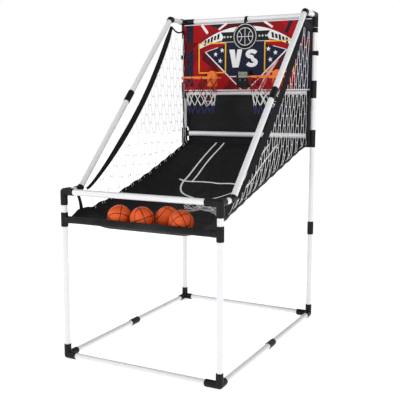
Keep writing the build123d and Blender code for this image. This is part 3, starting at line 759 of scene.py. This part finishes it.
def make_court():
    """The black court with its printed lines, its ball tray and turned-up side hems."""
    front = MIDDLE_STATIONS[0][0]
    depth = COURT_REAR - front
    # the rows lie closer together in the tray
    ys = [front + depth * (j / COURT_ROWS) ** 1.25 for j in range(COURT_ROWS + 1)]
    flap_share = 0.035

    def place(u, v):
        y = ys[round(v * COURT_ROWS)]
        across = 2 * u - 1
        if abs(across) <= 1 - flap_share:
            return court_point(across / (1 - flap_share), y)
        side = 1 if across > 0 else -1
        up = (abs(across) - (1 - flap_share)) / flap_share
        return court_point(side, y).lerp(hem_top(side, y), up)

    def flat(u, v):
        point = place(u, v)
        return (point.x, point.y, 0.0)

    court = grid_piece("court_sheet", COURT_ROWS, COURT_COLUMNS, place, flat, COURT, 0.0008)
    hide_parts("ramp_cloth")


def make_hem_sleeve():
    """The sewn sleeve of the court cloth round the front tube, and its row of stitches."""
    half = 0.3235
    girth = 0.094

    def place(u, v):
        x = -half + 2 * half * v
        angle = 2 * math.pi * u
        radius = TUBE_RADIUS + 0.0012
        pinch = wander((x, math.cos(angle) * 0.1, math.sin(angle) * 0.1), 24.0, 4.4)
        radius += 0.0007 * max(pinch, -0.5) + 0.0004
        return Vector((x, HEM_Y + math.cos(angle) * radius, HEM_Z + math.sin(angle) * radius))

    def flat(u, v):
        return (-half + 2 * half * v, girth * u, 0.0)

    grid_piece("hem_sleeve", 120, 24, place, flat, CURTAIN, 0.0005)
    stitches = Mesher()
    step = 0.006
    end = 0.02
    angle = math.radians(38.0)
    radius = TUBE_RADIUS + 0.0022
    y = HEM_Y + math.cos(angle) * radius
    z = HEM_Z + math.sin(angle) * radius
    for i in range(int(2 * (half - end) / step)):
        x = -half + end + i * step
        stitches.cord([(x, y, z), (x + 0.0019, y, z + 0.0002), (x + 0.0038, y, z)], 0.0004, 5)
    stitches.build("hem_stitches", CORD_BLACK, slot="cloth")


def make_curtain():
    """The cloth behind the crossbars, from under the board down to the court."""
    half = 0.338
    widest = 0.350
    low = RAMP_TOP - 0.012
    high = BAR_FOOT + TUBE_RADIUS * 1.6

    def place(u, v):
        # wider between the tees, where it laps behind the posts
        free = clamp((v - 0.30) / 0.05) * clamp((0.85 - v) / 0.05)
        x = (2 * u - 1) * (half + (widest - half) * free)
        z = low + (high - low) * v
        inner = min(v / 0.08, 1.0) * min((1 - v) / 0.06, 1.0)
        bow = 0.0045 * wander((x * 3.5, 0, z), 3.0, 6.1)
        bow += 0.0022 * wander((x, 0, z * 4.0), 9.0, 1.3)
        crease = 0.0035 * math.exp(-(((z - low - 0.02 - 0.05 * abs(x)) / 0.012) ** 2))
        y = CURTAIN_Y + 0.0015 + (bow - crease) * inner
        return Vector((x, max(y, CROSS_BACK + 0.0006), z))

    def flat(u, v):
        return ((2 * u - 1) * half, (high - low) * v, 0.0)

    curtain = grid_piece("curtain_sheet", 60, 90, place, flat, CURTAIN, 0.0008)
    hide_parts("back_curtain")


# ---- side nets ----
NET_COLUMN = 0.031            # between neighbouring strands
NET_ROW = 0.046               # between the knots of neighbouring columns
NET_SWING = 0.0075            # how far a strand leans towards each knot
NET_CORD = 0.00092            # radius of the cord
EDGE_BOW = 0.062              # how far the front edge bows away from the slanted tube
TOP_STRAP_END = {-1: 1.437, 1: 1.414}    # Z where each top edge meets its post
STRAP = 0.0016                # thickness of the webbing
NET_DRIFT = 0.0160            # how far smooth noise may move a knot
POST_WRAP_Z = 1.411           # where webbing goes round each rear post


def net_edge(side, t):
    """The webbing edge beside the slanted tube, from the top elbow (0) to the lower one (1)."""
    start = Vector((0, SLANT_HIGH.y + 0.004, SLANT_HIGH.z - 0.034))
    end = Vector((0, SLANT_LOW.y + 0.040, SLANT_LOW.z - 0.004))
    point = start.lerp(end, t)
    power = 0.85 - 0.22 * clamp((t - 0.5) / 0.3)
    bow = EDGE_BOW * max(math.sin(math.pi * t), 0.0) ** power
    point += Vector((0, 0.7071, -0.7071)) * bow
    point.x = side * (0.349 - 0.004 * math.sin(math.pi * t))
    return point


def net_top(side, t):
    """The top edge, from the elbow (0) to the post (1)."""
    start = net_edge(side, 0.0)
    end = Vector((side * 0.350, BOARD_FACE - 0.001, TOP_STRAP_END[side]))
    point = start.lerp(end, t)
    point.z -= (0.018 if side < 0 else 0.006) * math.sin(math.pi * t)
    return point


def net_ceiling(side, y):
    """Height of the net's upper boundary at y."""
    top_start = net_edge(side, 0.0)
    if y >= top_start.y:
        t = (y - top_start.y) / (BOARD_FACE - 0.001 - top_start.y)
        return net_top(side, min(t, 1.0)).z
    low, high = 0.0, 1.0
    for _ in range(24):
        middle = (low + high) / 2
        if net_edge(side, middle).y > y:
            low = middle
        else:
            high = middle
    return net_edge(side, low).z


def net_x(side, y, z):
    """How far out the net lies at (y, z), between the court's side hem and the tubes."""
    foot = hem_top(side, y)
    high = max(net_ceiling(side, y), foot.z + 0.01)
    t = clamp((z - foot.z) / (high - foot.z))
    inner = abs(foot.x) + 0.002
    billow = 0.010 * wander((0, y, z), 3.2, side * 2.0 + 5.0) * math.sin(math.pi * t)
    return side * (inner + (0.3415 - inner) * t**0.75 + billow)


def net_knot(side, y, z):
    """Place of one net point after its drift."""
    drift_y = NET_DRIFT * wander((0, y, z), 7.0, 11.0 + side)
    drift_z = NET_DRIFT * wander((0, y, z), 8.0, 17.0 + side)
    y = min(y + drift_y, BOARD_FACE - 0.008)
    z = max(z + drift_z, hem_top(side, y).z + 0.002)
    return Vector((net_x(side, y, z), y, z))


def webbing_drop(z):
    """How far below the middle of the webbing a strand ends, hidden in its fold."""
    return 0.006 + 0.009 * clamp((z - 0.75) / 0.15)


def net_strand(side, column, base_y, rear):
    """Where one upright strand bends, as (y, z, 1 if it leans back or 0 if it leans forward)."""
    path = []
    for k in range(13, 34):
        z = k * NET_ROW
        lean = NET_SWING if (column + k) % 2 else -NET_SWING
        y = min(base_y + lean, rear)
        if hem_top(side, y).z + 0.010 < z < net_ceiling(side, y) - webbing_drop(z) - 0.006:
            path.append((y, z, (column + k) % 2))
    return path


def make_side_net(name, side):
    """Knotted white cord between the slanted tube, the rear post and the court's side hem."""
    cords = Mesher()
    front = SLANT_LOW.y + 0.052
    rear = BOARD_FACE - 0.010
    columns = int((rear - front) / NET_COLUMN)
    for column in range(columns + 1):
        base_y = rear - column * NET_COLUMN
        path = net_strand(side, column, base_y, rear)
        if not path:
            continue
        points = [net_knot(side, y, z) for y, z, _ in path]
        foot = hem_top(side, path[0][0])
        head_y = path[-1][0]
        head_z = net_ceiling(side, head_y) - webbing_drop(path[-1][1])
        hook = [foot + Vector((-side * 0.007, 0.001, -0.009)),
                foot + Vector((-side * 0.005, 0, 0.001)),
                foot + Vector((side * 0.002, 0, 0.002))]
        head = Vector((net_x(side, head_y, head_z), head_y, head_z))
        cords.cord(rounded(hook + points + [head]), NET_CORD, 5)
        for (y, z, towards), spot in zip(path, points):
            if towards == 0 and column < columns:
                other = net_knot(side, base_y - NET_COLUMN + NET_SWING, z)
                if other.z < net_ceiling(side, other.y) - webbing_drop(z) - 0.004:
                    sag = Vector((0, 0, -0.0035))
                    cords.cord([spot, spot.lerp(other, 0.3) + sag,
                                spot.lerp(other, 0.7) + sag * 0.4, other], NET_CORD, 5)
            cords.cord([spot - Z_AXIS * 0.003, spot, spot + Z_AXIS * 0.003], NET_CORD * 1.15, 5)
    net = cords.build(f"side_net_cords_{name}", CORD_WHITE, slot="side_net")
    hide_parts(f"side_net_{name}")
    make_net_border(name, side)
    make_hem_binding(name, side)


def rounded(points):
    """The same path with its corners cut twice."""
    for _ in range(2):
        cut = [points[0]]
        for a, b in zip(points, points[1:]):
            cut += [a.lerp(b, 0.25), a.lerp(b, 0.75)]
        points = cut + [points[-1]]
    return points


def make_net_border(name, side):
    """Black webbing along the front and top edges, and a bound rear edge on the post."""
    border = Mesher()

    def front_width(t):
        wide = 0.031 if side > 0 else 0.027
        return wide * min(0.6 + t * 5.0, 1.0) * (1.0 - 0.55 * max(0.0, (t - 0.70) / 0.30))

    front_path = [net_edge(side, t / 80) for t in range(81)]
    border.ribbon(front_path, (0.45, 0.7, -0.7), front_width, STRAP)
    top_path = [net_top(side, t / 20) for t in range(21)]
    top_width = 0.008 if side < 0 else 0.024
    border.ribbon(top_path, (0.3, 0.3, 1), lambda _: top_width, STRAP)
    post = Vector((side * POST_X, REAR_Y, POST_WRAP_Z))
    border.ribbon(ring(post, X_AXIS, Y_AXIS, TUBE_RADIUS + 0.0014), Z_AXIS, lambda _: 0.022, 0.0018)
    rear_y = BOARD_FACE - 0.006
    low = hem_top(side, rear_y).z
    high = TOP_STRAP_END[side]
    rear_path = [(side * (0.3465 + 0.001 * math.sin(k)), rear_y, low + (high - low) * k / 40)
                 for k in range(41)]
    lower_width = 0.030 if side > 0 else 0.012
    border.ribbon(rear_path, Y_AXIS,
                  lambda t: lower_width if low + (high - low) * t < BAR_FOOT else 0.012, STRAP)
    border.build(f"net_border_{name}", WEBBING, smooth=False, slot="webbing")


def make_hem_binding(name, side):
    """The overlocked top of the side hem."""
    front, rear = -0.470, 0.5150
    binding = Mesher()
    binding.cord([hem_top(side, front + (rear - front) * k / 159) for k in range(160)], 0.0017)
    binding.build(f"hem_binding_{name}", WEBBING, slot="cloth")


def make_loose_net():
    """Spare net bunched behind the front rail, right of the balls."""
    bunch = Mesher()
    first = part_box("ball_4")[1].x - 0.070
    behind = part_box("ball_4")[1].y + 0.012
    for strand in range(12):
        path = []
        for k in range(34):
            t = k / 33
            x = first + (0.330 - first) * t + 0.010 * wander((t, strand, 0), 3.0, 9.0)
            forward = max(0.0, (t - 0.42) / 0.58)
            y = behind - (0.030 + 0.014 * wander((t, strand, 1), 4.0, 4.0)) * forward
            z = 0.666 - 0.008 * forward
            z += (0.026 + 0.012 * forward) * wander((t * 2.0, strand * 2.0, 2), 2.2, 7.0)
            z += 0.007 * math.sin(11.0 * t + strand * 1.9)
            path.append((max(x, first), y, min(z, 0.688)))
        bunch.cord(path, NET_CORD * 0.65, 5)
    bunch.build("side_net_spare_right", CORD_WHITE, slot="side_net")


def make_tray_straps():
    """Webbing from the front stubs down to the edge of the tray, round the stub at the top."""
    for name, side in (("left", -1), ("right", 1)):
        straps = Mesher()
        stub = Vector((side * POST_X, -0.436, RAIL_Z))
        wrap = ring(stub, X_AXIS, Z_AXIS, TUBE_RADIUS + 0.0012)
        straps.ribbon(wrap, Y_AXIS, lambda _: 0.013, 0.0015)
        top = stub + Vector((-side * 0.004, 0.004, -TUBE_RADIUS - 0.001))
        foot = hem_top(side, -0.440) + Vector((0, 0, -0.006))
        path = []
        for k in range(17):
            t = k / 16
            point = top.lerp(foot, t)
            point.x -= side * 0.004 * math.sin(math.pi * t)
            path.append(point)
        straps.ribbon(path, (0.35, 1, 0.1), lambda t: 0.0135 + 0.004 * t * t, 0.0015)
        piece = straps.build(f"tray_strap_{name}", WEBBING, smooth=False, slot="webbing")
        if side < 0:
            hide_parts("tray_straps")


# ---- hoop nets ----
NET_PHASE = {-1: 4.8, 1: -0.56}       # degrees that each net is turned by
NET_REAR_SHIFT = {-1: 2.7, 1: 8.1}    # degrees more at the rear, to centre a cell on the paddle
NET_REAR_DIP = (0.0, 0.020, 0.043, 0.020, 0.006, 0.0)    # by row, to part the net round it
NET_REAR_SPREAD = 0.38        # how far the first row's knots move apart there, as a share
NET_STRAND = 0.0019           # radius of the cord
NET_BOTTOM = 0.062            # radius of each net at its lower end


def make_hoop_net(name, side):
    """Twelve loops of red, white and blue cord under one rim."""
    low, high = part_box(f"hoop_net_{name}")
    centre_x = (low.x + high.x) / 2
    centre_y = (low.y + high.y) / 2
    top_radius = (high.x - low.x) / 2 - 0.001
    height = high.z - low.z
    rim_low, rim_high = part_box(f"rim_{name}")
    rim_z = (rim_low.z + rim_high.z) / 2
    loops = 12
    rows = 5
    seed = 21.0 + side
    phase = math.radians(NET_PHASE[side])

    def knot(turn, row):
        """One knot: its angle before it drifts, and its row from the rim down."""
        t = row / rows
        radius = top_radius + (NET_BOTTOM - top_radius) * t**0.9
        radius *= 1.0 - 0.05 * math.sin(math.pi * t)
        place = (math.cos(turn), math.sin(turn), t * 2)
        radius += 0.0035 * wander(place, 2.2, seed) * t
        z = high.z - height * t + 0.004 * wander(place, 3.0, seed + 4) * t
        angle = turn + phase + 0.03 * wander(place, 1.6, seed + 9) * t
        from_rear = math.remainder(angle - math.pi / 2, 2 * math.pi)
        angle += math.radians(NET_REAR_SHIFT[side]) * math.exp(-((from_rear / 0.9) ** 2))
        from_rear = math.remainder(angle - math.pi / 2, 2 * math.pi)
        near = math.exp(-((from_rear / 0.45) ** 2))
        z -= NET_REAR_DIP[row] * near
        if row == 1:
            angle += NET_REAR_SPREAD * from_rear * near
        return Vector((centre_x + radius * math.cos(angle),
                       centre_y + radius * math.sin(angle), z))

    cords = (("red", CORD_RED), ("white", CORD_WHITE), ("blue", CORD_BLUE))
    meshers = [Mesher() for _ in cords]

    def zone(row):
        """Which of the cords is used at a row, or between two rows."""
        return 0 if row < 2.2 else (1 if row < 4 else 2)

    for i in range(loops * 2):
        base = math.pi * i / loops
        swing = math.pi / loops / 2
        rail = [(knot(base + (swing if (i + row) % 2 else -swing), row), row)
                for row in range(rows + 1)]
        for (a, row), (b, _) in zip(rail, rail[1:]):
            middle = (a + b) / 2
            inward = Vector((centre_x - middle.x, centre_y - middle.y, 0)).normalized()
            middle += inward * 0.0015
            meshers[zone(row + 0.5)].cord([a, middle, b], NET_STRAND)
    for i in range(loops):
        turn = 2 * math.pi * (i + 0.25) / loops
        for row in range(1, rows + 1):
            spot_turn = turn if row % 2 else turn + math.pi / loops
            spot = knot(spot_turn, row)
            meshers[zone(row)].cord([spot + Z_AXIS * 0.0035, spot,
                                     spot - Z_AXIS * 0.0035], NET_STRAND * 1.45)
        held = turn + math.pi / loops + phase
        out = Vector((math.cos(held), math.sin(held), 0))
        on_rim = Vector((centre_x, centre_y, rim_z)) + out * top_radius
        meshers[0].cord(ring(on_rim, out, Z_AXIS, 0.0048, 14)[:-1], 0.0011, closed=True)
    for mesher, (word, colour) in zip(meshers, cords):
        piece = mesher.build(f"hoop_net_{name}_{word}", colour, slot="hoop_net")
        if word == "white":
            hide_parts(f"hoop_net_{name}")


# ---- board print ----
INK_STEP = 0.00025            # how much each level of ink stands out
INK_GAP = 0.00002             # how far the back of the ink stands off the board


class Print:
    """Flat inks laid on the board, one layer over another."""

    def __init__(self):
        self.layers = {}

    def shape(self, ink_name, level, outline):
        """One filled outline."""
        mesher = self.layers.setdefault(ink_name, Mesher())
        front = BOARD_FACE - INK_STEP * (level + 1)
        mesher.panel(outline, front, BOARD_FACE - INK_GAP)

    def line(self, ink_name, level, points, width):
        """A stroke along straight runs, one four-cornered panel per run."""
        for (x0, z0), (x1, z1) in zip(points, points[1:]):
            run = Vector((x1 - x0, z1 - z0))
            across = Vector((-run.y, run.x)).normalized() * width / 2
            ends = ((x0, z0, -1), (x1, z1, -1), (x1, z1, 1), (x0, z0, 1))
            self.shape(ink_name, level,
                       [(x + sign * across.x, z + sign * across.y) for x, z, sign in ends])

    def band(self, ink_name, level, outer, inner):
        """A band between two point lists of equal length."""
        for i in range(len(outer) - 1):
            self.shape(ink_name, level, [inner[i], inner[i + 1], outer[i + 1], outer[i]])


def circle(x, z, radius, count=48, start=0.0, end=2 * math.pi):
    """Points on a circle or an arc."""
    steps = count if end - start >= 2 * math.pi - 1e-6 else count + 1
    return [(x + radius * math.cos(start + (end - start) * i / count),
             z + radius * math.sin(start + (end - start) * i / count)) for i in range(steps)]


def star(x, z, radius, tilt=0.0):
    """A plain five-pointed star."""
    points = []
    for i in range(10):
        r = radius if i % 2 == 0 else radius * 0.40
        a = math.pi / 2 + tilt + i * math.pi / 5
        points.append((x + r * math.cos(a), z + r * math.sin(a)))
    return points


def mirrored(points):
    """The same outline on the other side, still in order."""
    return [(-x, z) for x, z in reversed(points)]


def both(draw, ink_name, level, points, *rest):
    """Draws an outline on both halves of the board."""
    draw(ink_name, level, points, *rest)
    draw(ink_name, level, mirrored(points), *rest)


ARCH_OUTER = (1.447, 0.437)   # apex and radius of the arch's upper edge
ARCH_INNER = (1.393, 0.666)   # and of its lower edge


def arc_height(x, apex, radius):
    """Height of a shallow arch at x."""
    return apex - radius + math.sqrt(radius * radius - x * x)


def make_board_print():
    """The scoreboard artwork: arch, targets, wedges with stars, letters and a plain badge."""
    p = Print()
    top = BOARD_HIGH.z
    # dark shards behind the rest
    both(p.shape, "maroon", 0, [(0.262, 1.372), (0.345, 1.300), (0.345, 1.380)])
    both(p.shape, "maroon", 0, [(0.130, 1.205), (0.240, 1.285), (0.240, 1.320), (0.215, 1.330)])
    p.shape("navy", 0, [(-0.215, top - 0.004), (-0.150, 1.440), (-0.118, top - 0.004)])
    both(p.shape, "maroon", 0,
         [(0.0, 1.440), (0.0, top - 0.009), (0.095, top - 0.009), (0.138, 1.434)])
    p.shape("black", 0, [(-0.100, top - 0.010), (0.095, top - 0.010), (0.090, top), (-0.095, top)])
    # a pale painted reflection beside the right hoop: a streak of gloss on the board, laid as flat
    # ink
    p.shape("painted_reflection", 3, [(0.072, 1.131), (0.094, 1.131), (0.132, 1.203), (0.180, 1.275),
                         (0.160, 1.262), (0.111, 1.203)])
    p.shape("navy", 1, [(0.172, 1.226), (0.262, 1.226), (0.262, 1.300), (0.222, 1.318)])
    p.line("white", 1, [(-0.243, top - 0.004), (-0.209, 1.419)], 0.014)
    p.line("navy", 1, [(0.243, top - 0.004), (0.217, 1.405)], 0.017)
    both(p.line, "white", 1, [(0.102, top - 0.003), (0.146, 1.435)], 0.010)
    # navy panel and wedges
    p.shape("navy", 1, [(-0.103, 1.199), (0.103, 1.199), (0.103, 1.376), (-0.103, 1.376)])
    p.line("white", 3, [(-0.088, 1.199), (0.088, 1.199)], 0.005)
    both(p.shape, "navy", 1, [(0.108, 1.221), (0.222, 1.325), (0.108, 1.357)])
    both(p.shape, "maroon", 2, [(0.010, 1.135), (0.070, 1.200), (0.010, 1.200)])
    # the arch with its rows of plain blocks
    xs = [-0.262 + 0.524 * i / 44 for i in range(45)]
    outer = [(x, arc_height(x, *ARCH_OUTER)) for x in xs]
    inner = [(x, arc_height(x, *ARCH_INNER)) for x in xs]
    p.band("white", 2, outer, inner)
    for side in (-1, 1):
        for block in range(5):
            x = side * (0.150 + block * 0.0185)
            middle = (arc_height(x, *ARCH_OUTER) + arc_height(x, *ARCH_INNER)) / 2
            tall = 0.011 if block % 2 else 0.0135
            lean = -side * 0.004
            fall = side * 0.003
            p.shape("black", 3, [(x - 0.006, middle - tall), (x + 0.006, middle - tall - fall),
                                 (x + 0.006 + lean, middle + tall - fall),
                                 (x - 0.006 + lean, middle + tall)])
    # yellow target squares
    for side in (-1, 1):
        left, right = sorted((side * 0.107, side * 0.258))
        corners = [(left, 1.220), (right, 1.220), (right, 1.368), (left, 1.368)]
        p.line("yellow", 4, corners + corners[:1], 0.006)
    # white diagonals of the wedge and their foot
    both(p.line, "white", 3, [(0.222, 1.325), (0.014, 1.130)], 0.006)
    both(p.line, "white", 3, [(0.222, 1.325), (0.150, 1.345)], 0.003)
    # stars
    for x, z, tilt in ((0.163, 1.312, 0.1), (0.126, 1.331, -0.1), (0.137, 1.279, 0.2)):
        both(p.shape, "white", 3, star(x, z, 0.0135, tilt))
    # bottom and top borders
    for low, high in ((1.1285, 1.1335), (1.462, 1.4655)):
        p.shape("white", 4, [(-0.346, low), (0.346, low), (0.346, high), (-0.346, high)])
    # plain block letters
    p.shape("white", 3, [(-0.086, 1.333), (-0.056, 1.333), (-0.049, 1.281), (-0.041, 1.333),
                         (-0.014, 1.333), (-0.034, 1.244), (-0.067, 1.244)])
    draw_s(p)
    draw_badge(p)
    inks = {"white": INK_WHITE, "navy": INK_NAVY, "yellow": INK_YELLOW, "black": INK_BLACK,
            "maroon": INK_MAROON, "painted_reflection": PAINTED_REFLECTION_INK}
    for word, mesher in p.layers.items():
        piece = mesher.build(f"board_ink_{word}", inks[word], smooth=False, slot="board")
        recalculate(piece)


def draw_s(p):
    """The letter S as a thick stroke on two arcs."""
    upper = circle(0.037, 1.3085, 0.0135, 12, math.radians(15), math.radians(270))
    lower = circle(0.037, 1.2675, 0.0135, 12, math.radians(90), math.radians(-165))
    path = [(x + (x - 0.037) * 0.75, z) for x, z in upper + lower[1:]]
    width = 0.0195
    left = []
    right = []
    for i, (x, z) in enumerate(path):
        before = path[max(i - 1, 0)]
        after = path[min(i + 1, len(path) - 1)]
        run = Vector((after[0] - before[0], after[1] - before[1])).normalized()
        left.append((x - run.y * width / 2, z + run.x * width / 2))
        right.append((x + run.y * width / 2, z - run.x * width / 2))
    p.band("white", 3, left, right)


def draw_badge(p):
    """A generic round badge: a ball in a ring, over a straight ribbon with stars."""
    x, z = 0.0, 1.395
    ribbon_half, ribbon_low, ribbon_high = 0.134, 1.372, 1.420
    notch = 0.016
    for ink_name, level, grow in (("white", 5, 0.0022), ("black", 6, 0.0)):
        half = ribbon_half + grow
        low, high = ribbon_low - grow, ribbon_high + grow
        middle = (low + high) / 2
        p.shape(ink_name, level,
                [(-half, low), (0, low), (0, high), (-half, high), (-half + notch, middle)])
        p.shape(ink_name, level,
                [(0, low), (half, low), (half - notch, middle), (half, high), (0, high)])
    p.shape("black", 7, circle(x, z, 0.0655))
    for radius, inside, count in ((0.0615, 0.0590, 64), (0.0440, 0.0412, 48)):
        outer, inner = circle(x, z, radius, count), circle(x, z, inside, count)
        p.band("white", 8, outer + outer[:1], inner + inner[:1])
    p.line("white", 8, [(x - 0.042, z), (x + 0.042, z)], 0.0026)
    p.line("white", 8, [(x, z - 0.042), (x, z + 0.042)], 0.0026)
    for side in (-1, 1):
        start = -60 if side < 0 else 120
        bow = circle(side * 0.052, z, 0.034, 14, math.radians(start), math.radians(start + 120))
        p.line("white", 8, bow, 0.0026)
        for k in range(3):
            p.shape("white", 7, star(side * (0.078 + k * 0.017), 1.396, 0.0068))


# ---- scorer details ----
def make_scorer_digits():
    """Two plain zeros a side and a colon on the display."""
    low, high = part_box("scorer_lcd_panel")
    face, back = low.y - 0.00012, low.y - 0.00001
    digits = Mesher()
    width, tall, bar = 0.0056, 0.0125, 0.0013
    base_z = (low.z + high.z) / 2 - tall / 2
    for x in (-0.0190, -0.0105, 0.0050, 0.0135):
        bars = [
            ((x, base_z), (x + bar, base_z + tall)),
            ((x + width - bar, base_z), (x + width, base_z + tall)),
            ((x + bar, base_z), (x + width - bar, base_z + bar)),
            ((x + bar, base_z + tall - bar), (x + width - bar, base_z + tall)),
        ]
        for (x0, z0), (x1, z1) in bars:
            digits.panel([(x0, z0), (x1, z0), (x1, z1), (x0, z1)], face, back)
    for z in (base_z + tall * 0.3, base_z + tall * 0.7):
        digits.panel(circle(-0.0004, z, 0.0008, 10), face, back)
    piece = digits.build("scorer_digits", INK_BLACK, smooth=False, slot="lcd")
    recalculate(piece)


# ---- balls ----
BALL_TURNS = {1: (20, 12, 35), 2: (-35, 70, 10), 3: (60, -20, 80), 4: (115, 40, -25)}
SEAM_WIDTH = 0.026            # on the unit ball
SEAM_DEPTH = 0.0007           # in metres


def make_ball(number, body):
    """A small basketball with sunk seams."""
    low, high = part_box(f"ball_{number}")
    centre = (low + high) / 2
    radius = (high.z - low.z) / 2
    rings, spokes = 96, 192
    turn = Euler([math.radians(a) for a in BALL_TURNS[number]]).to_matrix()
    points, local = [], []
    for j in range(rings + 1):
        polar = math.pi * j / rings
        for i in range(spokes if 0 < j < rings else 1):
            around = 2 * math.pi * i / spokes
            unit = Vector((math.sin(polar) * math.cos(around), math.sin(polar) * math.sin(around),
                           math.cos(polar)))
            bowed = abs(abs(unit.y) - SEAM_OUT - SEAM_BOW * unit.z**2)
            seam = min(abs(unit.x), abs(unit.z), bowed)
            sunk = SEAM_DEPTH * math.exp(-((seam / SEAM_WIDTH) ** 2))
            points.append(centre + turn @ unit * (radius - sunk))
            local.append(tuple(unit))
    faces = []
    for i in range(spokes):
        faces.append((0, 1 + i, 1 + (i + 1) % spokes))
        for j in range(rings - 2):
            a = 1 + j * spokes
            k = (i + 1) % spokes
            faces.append((a + i, a + spokes + i, a + spokes + k, a + k))
        a = 1 + (rings - 2) * spokes
        faces.append((a + i, a + spokes, a + (i + 1) % spokes))
    m = Mesher()
    m.add(points, faces)
    piece = m.build(f"basketball_{number}", BALL, body=body, slot="ball")
    store_vectors(piece, "unit_ball", local)
    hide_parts(f"ball_{number}")


# ---- everything ----
make_camera()
make_studio()
finish_cad_nodes()
make_court()
make_hem_sleeve()
make_curtain()
for net_name, net_side in (("left", -1), ("right", 1)):
    make_side_net(net_name, net_side)
    make_hoop_net(net_name, net_side)
make_loose_net()
make_tray_straps()
make_board_print()
make_scorer_digits()
for ball_number, ball_body in enumerate(("ball_one", "ball_two", "ball_three", "ball_four"), 1):
    make_ball(ball_number, ball_body)
